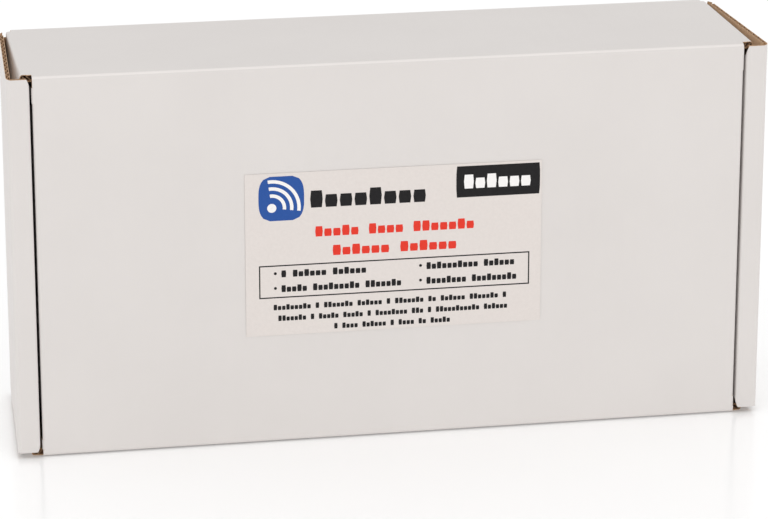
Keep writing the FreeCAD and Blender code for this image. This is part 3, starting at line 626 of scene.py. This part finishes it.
def creaseStrip(name, corners, radius, place, reach, materials, steps):
    # a narrow sheet round a fold, between the two bodies it joins: its cross-section is the
    # path at share t of its run, and place puts that at s along the fold
    path = foldedPath(corners, radius, wallLook["lidCrush"])

    def strip(s, t, depth):
        across, up = alongPath(path, t * path["length"], depth)
        return place(s, across, up)

    shares = pathShares(path, 7)
    parts = boardParts(strip, np.linspace(reach[0], reach[1], steps), shares, reach)
    # the lid's fold gets a painted highlight: a paler copy of the white board on a narrow band
    if len(materials) > highlightSlot:
        paintedFoldHighlight(parts[0], path, shares, steps - 1)
    piece = makePiece(name, parts, materials)
    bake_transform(piece)
    return piece


def paintedFoldHighlight(strip, path, shares, rows):
    # gives the paler material, a painted highlight, to the outer faces whose run is within half the band of
    # the fold's middle
    run = (shares[:-1] + shares[1:]) / 2 * path["length"]
    middle = sum(foldRun(path, 0)) / 2
    band = np.tile(np.abs(run - middle) < boardLook["foldHighlightWidth"] / 2, rows)
    strip[2][:len(band)][band] = highlightSlot


def lidCreases(materials, sideMaterials):
    face, edge = frontFace, wallLook["lidEdge"]
    # a paler copy of the white board, a painted highlight along the fold
    highlightedMaterials = materials + [whiteBoard("paintedFoldHighlight", "X", boardLook["foldHighlightGain"])]
    corners = [(face, lidHigh[2] - topCrease), (face, topFace), (lidLow[1] + 3.3, topFace)]
    creaseStrip("lidCrease", corners, wallLook["creaseRadius"], stacked, (0.35 - lidHalf, lidHalf - 0.35),
                highlightedMaterials, 41)
    foot = lidLow[2]
    corners = [(face + 5.5, foot + 1.4), (face + 3.2, foot + 0.1), (face, foot), (face, foot + footCrease)]
    creaseStrip("tuckCrease", corners, (wallLook["tuckRadius"], edge), stacked, (-tuckHigh[0], tuckHigh[0]),
                materials, 31)
    corners = [(flapHigh[0], face + flapStart), (lidHalf, face), (lidHalf - sideCrease, face)]
    for way, side in ((1, "right"), (-1, "left")):
        def upright(s, across, up):
            return stacked(way * across, up, s)
        creaseStrip(side + "FlapCrease", corners, edge, upright, (flapLow[2], flapHigh[2]),
                    sideMaterials,
                    21)


def dustFlap(way, materials):
    # a flat sheet whose lower end is cut at 45 degrees and whose upper end slopes down by 10 mm
    side = "right" if way > 0 else "left"
    begin, tip = frontFace + flapStart, flapHigh[1]

    def sheet(s, t, depth):
        low = flapLow[2] + (s - flapLow[1])
        high = flapHigh[2] - (s - flapLow[1]) * 10.0 / (flapHigh[1] - flapLow[1])
        return stacked(way * (flapHigh[0] - depth), s, low + (high - low) * t)

    parts = boardParts(sheet, np.linspace(begin, tip, 7), np.linspace(0, 1, 15), (begin, tip))
    replaced = [side + "_dust_flap"]
    return makePiece(side + "DustFlap", parts, materials, side + "_flap", replaced)


def tuckFlap(materials):
    # from the crease over the tuck wall's edge to the tip; its ends are cut at 45 degrees, and the board is
    # crushed by the crease: thickness * (0.78 + 0.22 * run / 9) over the first 9 mm
    start = (frontFace + 5.5, lidLow[2] + 1.4)
    path = foldedPath([(tuckHigh[1], 7.0), (frontFace + 8.3, 3.6), start], 4.0)
    whole = tuckHigh[1] - start[0]

    def sheet(s, t, depth):
        room = np.clip(tuckHigh[0] - np.abs(s) + 2.0, 1.5, whole)
        reach = np.minimum(path["length"], room * path["length"] / whole)
        crushed = 0.78 + 0.22 * np.clip(reach * t / 9, 0, 1)
        y, z = alongPath(path, path["length"] - reach * t, depth * crushed)
        return stacked(s, y, z)

    half = tuckHigh[0]
    across = np.unique(np.concatenate([np.linspace(-half, half, 31), [30 - half, half - 30]]))
    parts = boardParts(sheet, across, np.linspace(0, 1, 9), (-half, half))
    return makePiece("tuckFlap", parts, materials, "tuck", ["tuck_flap", "tuck_step"])


def makeCarton():
    acrossX, acrossY = boardMaterials("X"), boardMaterials("Y")
    for way in (1, -1):
        endWall(way, acrossY)
        dustFlap(way, acrossY)
    backPanel(acrossX)

    def bothSides(part):
        return [side + part for side in ("left_", "right_")]

    hingeNodes = ["hinge_wall"] + bothSides("hinge_wall_tab")
    tuckNodes = ["tuck_wall"] + bothSides("tuck_wall_tab") + bothSides("tuck_wall_corner")
    wallWithTabs("hingeWall", 1, tabLow[2], hingeNodes, acrossX)
    wallWithTabs("tuckWall", -1, tuckTabHigh[2], tuckNodes, acrossX)
    lidPanel(acrossX)
    lidCreases(acrossX, acrossY)
    tuckFlap(acrossX)
    lidLabel()
    print("carton made")


paperInk, blackInk, redInk, blueInk, whiteInk = range(5)     # the label's materials, in this order
labelLook = {
    "paper": (0.725, 0.672, 0.640),
    "black": (0.010, 0.009, 0.010),
    "red": (0.74, 0.040, 0.022),
    "blue": (0.022, 0.085, 0.33),
    "white": (0.88, 0.86, 0.85),
    "sheet": 0.09,          # thickness of the paper and of the ink on it
    "ink": 0.03,
    "tile": (-49.2, 111.2, 9.9),            # middle across and up, half width
    "badge": (27.2, 64.2, 107.4, 121.4),    # left, right, foot, head
    "frame": (-59.2, 59.9, 66.4, 81.3),
    "frameLine": 0.55,
    "point": 0.65,
    "pointHeight": 3.1,
    "smallHeight": 2.5,
    "titles": [             # left, right, middle, height, blocks in each word, layer, ink
        (-36.7, 14.8, 110.2, 7.6, [8], 1, blackInk),
        (30.6, 60.8, 114.4, 6.2, [6], 2, whiteInk),
        (-34.6, 35.7, 95.6, 4.6, [5, 4, 7], 1, redInk),
        (-27.0, 28.0, 86.8, 4.6, [6, 6], 1, redInk),
    ],
    "points": [             # left, right, middle, blocks in each word
        (-49.5, -12.0, 77.3, [1, 6, 6]),
        (-49.5, 3.4, 70.6, [5, 9, 7]),
        (14.2, 53.5, 77.3, [10, 6]),
        (14.2, 54.5, 70.6, [8, 9]),
    ],
    "smallLines": [
        (-53.0, 50.0, 62.2, [9, 1, 7, 6, 1, 7, 2, 6, 7, 1]),
        (-51.0, 50.5, 57.2, [7, 1, 5, 5, 1, 8, 3, 1, 11, 6]),
        (-26.5, 25.0, 52.3, [1, 4, 6, 1, 4, 2, 5]),
    ],
}


def inkMaterial(name, tone):
    # one tone with a fine grain, a little paler in places
    made, nodeSet, links, shader = newMaterial(name)
    setSockets(shader, roughness=0.5, specular=0.18)
    grain = addNoise(nodeSet, links, 700.0, 4.0, 0.6)
    paler = tuple(min(1.0, c * 1.04 + 0.004) for c in tone)
    addRamp(nodeSet, links, grain.outputs["Fac"], [(0.35, tone), (0.75, paler)], shader.inputs["Base Color"])
    addBump(nodeSet, links, shader, grain.outputs["Fac"], 0.000006, 0.5)
    return made


def plate(outline, y, thickness, slot):
    # a grid of (x, z) places made into a thin plate whose outer face is at y
    x, z = outline[..., 0], outline[..., 1]
    return closedSkin(stacked(x, y, z), stacked(x, y + thickness, z), slot, slot)


def decal(outline, layer, slot):
    # ink on the label, this many layers above the paper
    y = frontFace - labelLook["sheet"] - labelLook["ink"] * layer
    return plate(outline, y, labelLook["ink"] * 0.98, slot)


def bar(x0, x1, z0, z1, rounding=0.0, steps=5):
    # a rectangle whose ends are rounded: an end's inset is rounding * (1 - sqrt(1 - v cubed)), where v goes
    # from 0 at mid height to 1 at the edges
    u, v = np.meshgrid(np.linspace(0, 1, 3), np.linspace(-1, 1, steps), indexing="ij")
    inset = rounding * (1 - np.sqrt(np.clip(1 - (np.abs(v) ** 3), 0, 1)))
    low, high = x0 + inset, x1 - inset
    return np.stack([low + (high - low) * u, (z0 + z1) / 2 + (z1 - z0) / 2 * v], axis=-1)


def arc(centre, inner, outer, first, last, steps=25):
    # points at radius r and angle a: centre + r * (cos a, sin a)
    a, r = np.meshgrid(np.radians(np.linspace(first, last, steps)), [inner, outer], indexing="ij")
    return np.stack([centre[0] + r * np.cos(a), centre[1] + r * np.sin(a)], axis=-1)


def wordRow(x0, x1, z, height, words, layer, slot):
    # plain blocks, tall and short by turns; words are counts of blocks, and a block's pitch is the line's
    # length / (all blocks + one for each space between words)
    pitch = (x1 - x0) / (sum(words) + len(words) - 1)
    made, start, low = [], x0, z - height / 2
    for word in words:
        for place in range(word):
            tall = place == 0 or (place * 5 + word) % 4 == 0
            high = low + height * (1.0 if tall else 0.74)
            made.append(decal(bar(start, start + pitch * 0.85, low, high, pitch * 0.06, 3), layer, slot))
            start += pitch
        start += pitch
    return made


def outlineBox(x0, x1, z0, z1, line, slot):
    edges = [(x0, x1, z1 - line, z1), (x0, x1, z0, z0 + line),
             (x0, x0 + line, z0 + line, z1 - line), (x1 - line, x1, z0 + line, z1 - line)]
    return [decal(bar(*edge), 1, slot) for edge in edges]


def pictogram(x, z, half):
    # a blue tile with a round sensor that sends out three waves
    parts = [decal(bar(x - half, x + half, z - half, z + half, half * 0.5, 17), 1, blueInk)]
    source = (x - half * 0.42, z - half * 0.42)
    parts.append(decal(arc(source, 0.05, half * 0.20, 0, 360, 33), 2, whiteInk))
    for reach in (0.48, 0.80, 1.12):
        parts.append(decal(arc(source, half * reach, half * (reach + 0.15), -8, 98), 2, whiteInk))
    return parts


def lidLabel():
    # a flat sheet just proud of the lid, with ink in one or two layers
    look = labelLook
    low, high = boxOf("lid_label")
    x, z = np.meshgrid(np.linspace(low[0], high[0], 9), np.linspace(low[2], high[2], 7), indexing="ij")
    top, bottom = stacked(x, frontFace - look["sheet"], z), stacked(x, frontFace + 0.02, z)
    parts = [closedSkin(top, bottom, paperInk, paperInk)] + pictogram(*look["tile"])
    parts.append(decal(bar(*look["badge"], 0.3), 1, blackInk))
    for line in look["titles"]:
        parts += wordRow(*line)
    parts += outlineBox(*look["frame"], look["frameLine"], blackInk)
    for x0, x1, row, words in look["points"]:
        parts.append(decal(arc((x0 - 2.6, row + 0.3), 0.02, look["point"], 0, 360, 17), 1, blackInk))
        parts += wordRow(x0, x1, row, look["pointHeight"], words, 1, blackInk)
    for x0, x1, row, words in look["smallLines"]:
        parts += wordRow(x0, x1, row, look["smallHeight"], words, 1, blackInk)
    colours = ("paper", "black", "red", "blue", "white")
    inks = [inkMaterial("label" + colour.title(), look[colour]) for colour in colours]
    return makePiece("lidLabel", parts, inks, "lid", ["lid_label"])


# name, tone, roughness, grain in waves per metre, its height in metres, shade of the darker grain
kitLook = {
    "black_plastic": ("blackPlastic", (0.018, 0.018, 0.019), 0.46, 1500.0, 0.00003, 0.82),
    "socket_plastic": ("socketPlastic", (0.62, 0.60, 0.54), 0.42, 600.0, 0.00001, 0.93),
    "circuit_board": ("circuitBoard", (0.015, 0.105, 0.045), 0.38, 420.0, 0.00001, 0.7),
    "electronic_parts": ("electronicParts", (0.03, 0.03, 0.032), 0.4, 700.0, 0.00001, 0.82),
    "rubber": ("rubber", (0.022, 0.022, 0.023), 0.78, 900.0, 0.00003, 0.82),
    "potting": ("potting", (0.05, 0.05, 0.055), 0.3, 200.0, 0.00004, 0.82),
    "adhesive_foam": ("adhesiveFoam", (0.12, 0.12, 0.125), 0.9, 1100.0, 0.00006, 0.82),
    "cone_paper": ("conePaper", (0.06, 0.058, 0.055), 0.85, 500.0, 0.00005, 0.82),
    "tap_plastic": ("tapPlastic", (0.035, 0.13, 0.42), 0.35, 400.0, 0.00001, 0.88),
    "tie_nylon": ("tieNylon", (0.72, 0.71, 0.66), 0.45, 400.0, 0.00001, 0.92),
    "manual_paper": ("manualPaper", (0.80, 0.79, 0.77), 0.6, 300.0, 0.00001, 0.96),
}
metalLook = {
    "zinc_steel": ("zincSteel", (0.62, 0.63, 0.64), 0.32, 500.0, 0.00001, 0.85),
    "tinned_brass": ("tinnedBrass", (0.72, 0.62, 0.42), 0.3, 500.0, 0.00001, 0.85),
    "aluminium": ("aluminium", (0.70, 0.71, 0.72), 0.36, 800.0, 0.00001, 0.9),
}
foamLook = {"tone": (0.045, 0.047, 0.050), "cellScale": 900.0, "cellDepth": 0.00012}
filmLook = {"tone": (0.93, 0.95, 0.96, 1), "alpha": 0.26, "creaseScale": 120.0, "creaseDepth": 0.0006}


def plainMaterial(name, tone, roughness, grain, depth, shade, metallic=0.0):
    # one tone with fine grain in tone and in height
    made, nodeSet, links, shader = newMaterial(name)
    setSockets(shader, roughness=roughness, metallic=metallic, specular=0.5)
    noise = addNoise(nodeSet, links, grain, 4.0, 0.6)
    darker = tuple(c * shade for c in tone)
    addRamp(nodeSet, links, noise.outputs["Fac"], [(0.30, darker), (0.70, tone)], shader.inputs["Base Color"])
    addBump(nodeSet, links, shader, noise.outputs["Fac"], depth, 0.6)
    return made


def foamMaterial():
    # closed-cell foam: round cells, lower between them, with painted shade darkening those seams
    made, nodeSet, links, shader = newMaterial("foam")
    setSockets(shader, roughness=0.92, specular=0.25, sheen=0.12)
    place = nodeSet.new("ShaderNodeTexCoord")
    cells = nodeSet.new("ShaderNodeTexVoronoi")
    cells.inputs["Scale"].default_value = foamLook["cellScale"]
    links.new(place.outputs["Object"], cells.inputs["Vector"])
    # paler in the cells' middles and darker at their seams: painted shade
    paler, darker = (tuple(c * share for c in foamLook["tone"]) for share in (1.35, 0.6))
    stops = [(0.15, paler), (0.65, darker)]
    addRamp(nodeSet, links, cells.outputs["Distance"], stops, shader.inputs["Base Color"])
    height = addMath(nodeSet, links, "SUBTRACT", 1.0, cells.outputs["Distance"])
    addBump(nodeSet, links, shader, height, foamLook["cellDepth"], 0.8)
    return made


def filmMaterial():
    # thin clear film; faint creases in the sheen
    made, nodeSet, links, shader = newMaterial("clearFilm")
    setSockets(shader, color=filmLook["tone"], roughness=0.10, alpha=filmLook["alpha"], specular=0.7)
    noise = addNoise(nodeSet, links, filmLook["creaseScale"], 3.0, 0.55)
    addBump(nodeSet, links, shader, noise.outputs["Fac"], filmLook["creaseDepth"], 0.7)
    return made


def kitMaterials():
    made = {"foam": foamMaterial(), "clear_film": filmMaterial()}
    made.update({slot: plainMaterial(*look) for slot, look in kitLook.items()})
    made.update({slot: plainMaterial(*look, 1.0) for slot, look in metalLook.items()})
    return made


def dressFrame(materials):
    # every CAD node takes its slot's material, with soft shading on its round faces
    slotOf = {entry["node"]: entry["material_slot"] for entry in frame["record"]["subparts"]}
    bareBoard = whiteBoard("whiteBoardZ", "Z")
    for name, shown in nodes.items():
        shown.data.materials.clear()
        shown.data.materials.append(materials.get(slotOf.get(name), bareBoard))
        shown.data.shade_smooth()
        shown.data.set_sharp_from_angle(angle=math.radians(32))
    print("frame dressed")


def ringSkin(grid, closedRows):
    # a grid of points round an axis, whose last column repeats the first and is left out; its rows close on
    # themselves too if asked
    grid = grid[:, :-1]
    rows, columns = grid.shape[:2]
    points = grid.reshape(-1, 3)
    i, j = np.meshgrid(np.arange(rows if closedRows else rows - 1), np.arange(columns), indexing="ij")
    nextI, nextJ = (i + 1) % rows, (j + 1) % columns
    corners = [i * columns + j, nextI * columns + j, nextI * columns + nextJ, i * columns + nextJ]
    faces = facingOut(points, np.stack(corners, axis=-1).reshape(-1, 4))
    return points, faces, np.zeros(len(faces))


def turned(profile, centre):
    # a closed outline of (radius, height) turned about an upright axis: centre + (r cos a, r sin a, height)
    radius, height = np.hsplit(np.array(profile, float), 2)
    angle = np.linspace(0, 2 * math.pi, 25)
    return ringSkin(stacked(radius * np.cos(angle), radius * np.sin(angle), height) + centre, True)


def block(x0, x1, y0, y1, z0, z1, slot=0):
    # a plain block, as two four-cornered sheets and their rim
    x, z = np.meshgrid([x0, x1], [z0, z1], indexing="ij")
    return closedSkin(stacked(x, y0, z), stacked(x, y1, z), slot, slot)


bagLook = {"crumple": 0.75, "film": 0.12, "edge": 1.0, "sealFrom": 0.70, "zipLines": (0.74, 0.80, 0.86)}


def hardwareBag(materials):
    # two sheets of film that part over the pieces and meet at the edges: each lies the fill's half depth
    # * (1 - u^6) * (1 - v^6) from the middle, with crossed ripples
    low, high = boxOf("hardware_bag")
    middle, size = (low + high) / 2, high - low
    crumple = bagLook["crumple"]
    u, v = np.meshgrid(np.linspace(-1, 1, 81), np.linspace(-1, 1, 121), indexing="ij")
    sealed = np.clip((v - bagLook["sealFrom"]) / 0.10, 0, 1)
    swell = (1 - np.abs(u) ** 6) * (1 - np.abs(np.clip((v + 0.13) / 0.87, -1, 1)) ** 6) * (1 - sealed)
    ripple = 0.5 * np.sin(9 * u + 4 * v) + 0.35 * np.sin(15 * v - 6 * u + 1.3)
    ripple = ripple + 0.25 * np.sin(23 * u + 17 * v)
    x = middle[0] + u * (size[0] - bagLook["edge"]) / 2
    z = middle[2] + v * (size[2] - bagLook["edge"]) / 2
    reach = size[1] / 2 - crumple - 0.4
    parts = []
    for side in (-1, 1):
        y = middle[1] + side * (0.15 + reach * swell) + crumple * ripple * np.minimum(1, swell + 0.12) * 0.6
        y = y + side * crumple * 0.3 * np.sin(31 * v + 5 * u) * swell
        parts.append(closedSkin(stacked(x, y, z), stacked(x, y - side * bagLook["film"], z)))
    for line in bagLook["zipLines"]:
        z0 = middle[2] + line * size[2] / 2
        parts.append(block(low[0] + 1.2, high[0] - 1.2, middle[1] - 0.42, middle[1] + 0.42, z0, z0 + 0.9))
    makePiece("hardwareBag", parts, [materials["clear_film"]], "carton", ["hardware_bag"], 60.0)


screwLook = {
    "shank": 1.5,
    "threadPitch": 1.1,
    "threadDepth": 0.32,
    "tip": 3.0,
    "pitch": 7.2,
    "head": [(0.01, 0.0), (2.6, 0.0), (2.6, 0.7), (2.2, 1.35), (1.3, 1.7), (0.9, 1.7), (0.9, 1.0),
             (0.01, 1.0)],
}


def threadedShank(x, y, z, length):
    # radius = shank - thread depth * a saw of (run / pitch - turn), narrowed to a point over the tip
    look = screwLook
    run, angle = np.meshgrid(np.linspace(0, length, 150), np.linspace(0, 2 * math.pi, 17), indexing="ij")
    phase = (run / look["threadPitch"] - angle / (2 * math.pi)) % 1.0
    radius = look["shank"] - look["threadDepth"] * (1 - np.abs(2 * phase - 1)) ** 0.8
    radius = radius * np.clip(run / look["tip"], 0.05, 1) ** 0.7
    skin = stacked(x + radius * np.cos(angle), y + radius * np.sin(angle), z + run)
    middle = stacked(x + 0 * run, y, z + run)
    return ringSkin(np.concatenate([middle[:1], skin, middle[-1:]]), False)


def bagScrews(materials):
    # threaded shanks in two rows of three, with pan heads that have a round recess
    low, high = boxOf("bag_screws")
    headRadius = max(screwLook["head"])[0]
    length = high[2] - low[2]
    parts = []
    for i in range(6):
        x = low[0] + headRadius + (i % 3) * screwLook["pitch"]
        y = low[1] + headRadius + (i // 3) * (high[1] - low[1] - 2 * headRadius)
        parts.append(threadedShank(x, y, low[2], length - 1.9))
        parts.append(turned(screwLook["head"], (x, y, low[2] + length - 1.8)))
    makePiece("bagScrews", parts, [materials["zinc_steel"]], "carton", ["bag_screws"], 40.0)


tapLook = {     # foot and head in the tap's height, inset at both ends, reach in front and behind, slot
    "pitch": 13.0,
    "blade": (4.4, 5.6, 4.2, 0.25, 0.6, 0),
    "hinge": (8.2, 8.6, 0.6, 0.15, 0.4, 1),
}


def wireTaps(materials):
    # the CAD bodies stay; a bright blade and a hinge line are added to each
    low, high = boxOf("wire_taps")
    parts = []
    for i in range(3):
        start = low[2] + i * tapLook["pitch"]
        for key in ("blade", "hinge"):
            foot, head, inset, front, behind, slot = tapLook[key]
            x0, x1 = low[0] + inset, high[0] - inset
            parts.append(block(x0, x1, low[1] - front, low[1] + behind, start + foot, start + head, slot))
    shown = [materials["tinned_brass"], materials["tap_plastic"]]
    makePiece("tapBlades", parts, shown, "carton")


tieLook = {
    "pitch": 5.2,
    "strapLength": 56.0,
    "strapHalf": 1.25,
    "strapDepth": 0.96,
    "toothPitch": 1.2,
    "toothDepth": 0.22,
    "toothedLength": 48.0,
    "headHalf": 2.2,
    "headDepth": 2.9,
    "headFoot": 54.2,
    "headHead": 58.9,
}


def cableTies(materials):
    # straps whose near face is a saw, tooth depth * (run / tooth pitch) % 1, with a tail narrowed over 9 mm
    # and a square head whose slot is painted shade, a thin black plate on its face
    look = tieLook
    low, high = boxOf("cable_ties")
    deep = look["headDepth"] / 2
    parts = []
    for i in range(6):
        x = low[0] + 2.3 + (i % 3) * look["pitch"]
        y = low[1] + 1.5 + (i // 3) * (high[1] - low[1] - 3.0)
        run, side = np.meshgrid(np.linspace(0, look["strapLength"], 280), [-1.0, 1.0], indexing="ij")
        across = x + side * look["strapHalf"] * np.clip((run + 2) / 9, 0.25, 1)
        tooth = look["toothDepth"] * ((run / look["toothPitch"]) % 1.0) * (run < look["toothedLength"])
        near, far = y - look["strapDepth"] / 2 + tooth, y + look["strapDepth"] / 2
        parts.append(closedSkin(stacked(across, near, low[2] + run), stacked(across, far, low[2] + run)))
        foot, head = low[2] + look["headFoot"], low[2] + look["headHead"]
        parts.append(block(x - look["headHalf"], x + look["headHalf"], y - deep, y + deep, foot, head))
        # the slot is painted shade: a thin black plate standing for the hole
        parts.append(block(x - 1.35, x + 1.35, y - deep - 0.05, y - deep + 0.01, foot + 1.0, head - 1.0, 1))
    shown = [materials["tie_nylon"], materials["black_plastic"]]
    makePiece("cableTies", parts, shown, "carton", ["cable_ties"], 25.0)


manualLook = {
    "userLeaves": 7,
    "installationLeaves": 15,
    "grey": (0.16, 0.17, 0.19),
    "white": (0.85, 0.85, 0.84),
    "ink": 0.04,
    "secondInk": 0.05,      # how far a second layer stands in front of the first
    "spineSwell": 0.35,
}


def manualPages(name, node, leaves, materials, cover=()):
    # a stack of leaves, each leaf a little short of the cover at the open edge; a leaf's place is
    # its share of the stack + spine swell * exp(-distance from the spine / 2.5)
    low, high = boxOf(node)
    step = (high[1] - low[1]) / leaves
    parts = []
    for leaf in range(leaves):
        short = 0.9 * abs(math.sin(2.7 * leaf))
        across = np.linspace(low[0] + 0.05, high[0] - 0.05 - short, 25)
        x, z = np.meshgrid(across, np.linspace(low[2], high[2], 3), indexing="ij")
        spine = manualLook["spineSwell"] * np.exp(-(x - low[0]) / 2.5)
        y = low[1] + 0.10 + (leaf * step + spine * (1 - leaf / leaves)) * 0.92
        parts.append(closedSkin(stacked(x, y, z), stacked(x, y + step * 0.85, z)))
    return makePiece(name, parts + list(cover), materials, "carton", [node], 30.0)


def printedBar(x0, x1, z0, z1, y, slot, rounding=0.0):
    return plate(bar(x0, x1, z0, z1, rounding, 9), y, manualLook["ink"], slot)


def userCover():
    # a band with two bars, the back of a car with three sensor waves, and two lines at the foot
    low, high = boxOf("user_manual")
    middle, foot, head, y = (low[0] + high[0]) / 2, low[2], high[2], low[1]
    front = y - manualLook["secondInk"]
    paper, grey, blue, white = range(4)
    parts = [printedBar(low[0] + 4, high[0] - 1, head - 30, head - 8, y, blue)]
    for half, z0, z1, rounding in ((30, head - 20, head - 15, 0.6), (18, head - 27, head - 24, 0.4)):
        parts.append(printedBar(middle - half, middle + half, z0, z1, front, white, rounding))
    for half, z0, z1 in ((27, foot + 62, foot + 82), (20, foot + 80, foot + 95)):
        parts.append(printedBar(middle - half, middle + half, z0, z1, y, grey, 5.0))
    parts.append(printedBar(middle - 16, middle + 16, foot + 83, foot + 92, front, paper, 3.0))
    for lamp in (middle - 24, middle + 13):
        parts.append(printedBar(lamp, lamp + 11, foot + 72, foot + 78, front, white, 2.0))
    parts.append(printedBar(middle - 8, middle + 8, foot + 68, foot + 73, front, paper, 0.5))
    for reach in (14, 21, 28):
        wave = arc((middle, foot + 62), reach, reach + 2.2, 215, 325)
        parts.append(plate(wave, y, manualLook["ink"], blue))
    for row, half in ((16, 26), (12, 22)):
        parts.append(printedBar(middle - half, middle + half, foot + row, foot + row + 1.4, y, grey, 0.3))
    return parts


def manuals(materials):
    inks = [materials["manual_paper"], inkMaterial("coverGrey", manualLook["grey"]),
            inkMaterial("coverBlue", labelLook["blue"]), inkMaterial("coverWhite", manualLook["white"])]
    manualPages("userManual", "user_manual", manualLook["userLeaves"], inks, userCover())
    manualPages("installationManual", "installation_manual", manualLook["installationLeaves"], inks)


markLook = {
    "sticker": (8, 42, 14, 38),         # left, right, foot, head, from the module cover's low corner
    "stickerPaper": (0.55, 0.56, 0.57),
    "stickerInk": (0.03, 0.03, 0.035),
    "stickerBars": ((33, 22), (29, 28), (25, 25), (21, 28), (17, 16)),     # height, length
    "tickTone": (0.7, 0.7, 0.7),
    "ticks": 5,
    "tickPitch": 2.5,
}


def moduleSticker():
    # a plain sticker with bars on the control module
    low = boxOf("module_cover")[0]
    y, (left, right, foot, head) = low[1], markLook["sticker"]
    parts = [printedBar(low[0] + left, low[0] + right, low[2] + foot, low[2] + head, y - 0.03, 0, 0.8)]
    start = low[0] + left + 3
    for row, length in markLook["stickerBars"]:
        parts.append(printedBar(start, start + length, low[2] + row, low[2] + row + 1.5, y - 0.06, 1, 0.3))
    inks = [inkMaterial(name, markLook[name]) for name in ("stickerPaper", "stickerInk")]
    makePiece("moduleSticker", parts, inks, "carton")


def volumeMarks():
    # level ticks over the speaker's slider, each 0.5 mm taller than the last
    low, high = boxOf("volume_slider")
    y, foot = boxOf("speaker_cover")[0][1] - 0.03, high[2] + 1.2
    first = (low[0] + high[0]) / 2 - (markLook["ticks"] - 1) / 2 * markLook["tickPitch"]
    parts = []
    for step in range(markLook["ticks"]):
        x = first + step * markLook["tickPitch"]
        parts.append(printedBar(x - 0.25, x + 0.25, foot, foot + 0.6 + step * 0.5, y, 0))
    inks = [inkMaterial("markWhite", markLook["tickTone"])]
    makePiece("volumeMarks", parts, inks, "carton")


def makeKit():
    materials = kitMaterials()
    dressFrame(materials)
    hardwareBag(materials)
    bagScrews(materials)
    wireTaps(materials)
    cableTies(materials)
    manuals(materials)
    moduleSticker()
    volumeMarks()
    print("kit made")


def makeFloor():
    # a plain plate 5 mm thick, just under the carton
    half = studio["floorSize"] / 2 / mm
    x, y = np.meshgrid([-half, half], [-half, half], indexing="ij")
    shader = newMaterial("paleFloor")[3]
    tone = studio["floorTone"]
    setSockets(shader, color=(tone, tone, tone, 1), roughness=studio["floorGloss"], specular=0.5,
               glowColor=(1.0, 1.0, 1.0, 1.0), glow=studio["floorGlow"])
    parts = [closedSkin(stacked(x, y, -0.01), stacked(x, y, -5.0))]
    floor = makePiece("floor", parts, [bpy.data.materials["paleFloor"]])
    print("floor made")


placeCamera()
placeStudio()
makeFloor()
makeKit()
makeCarton()
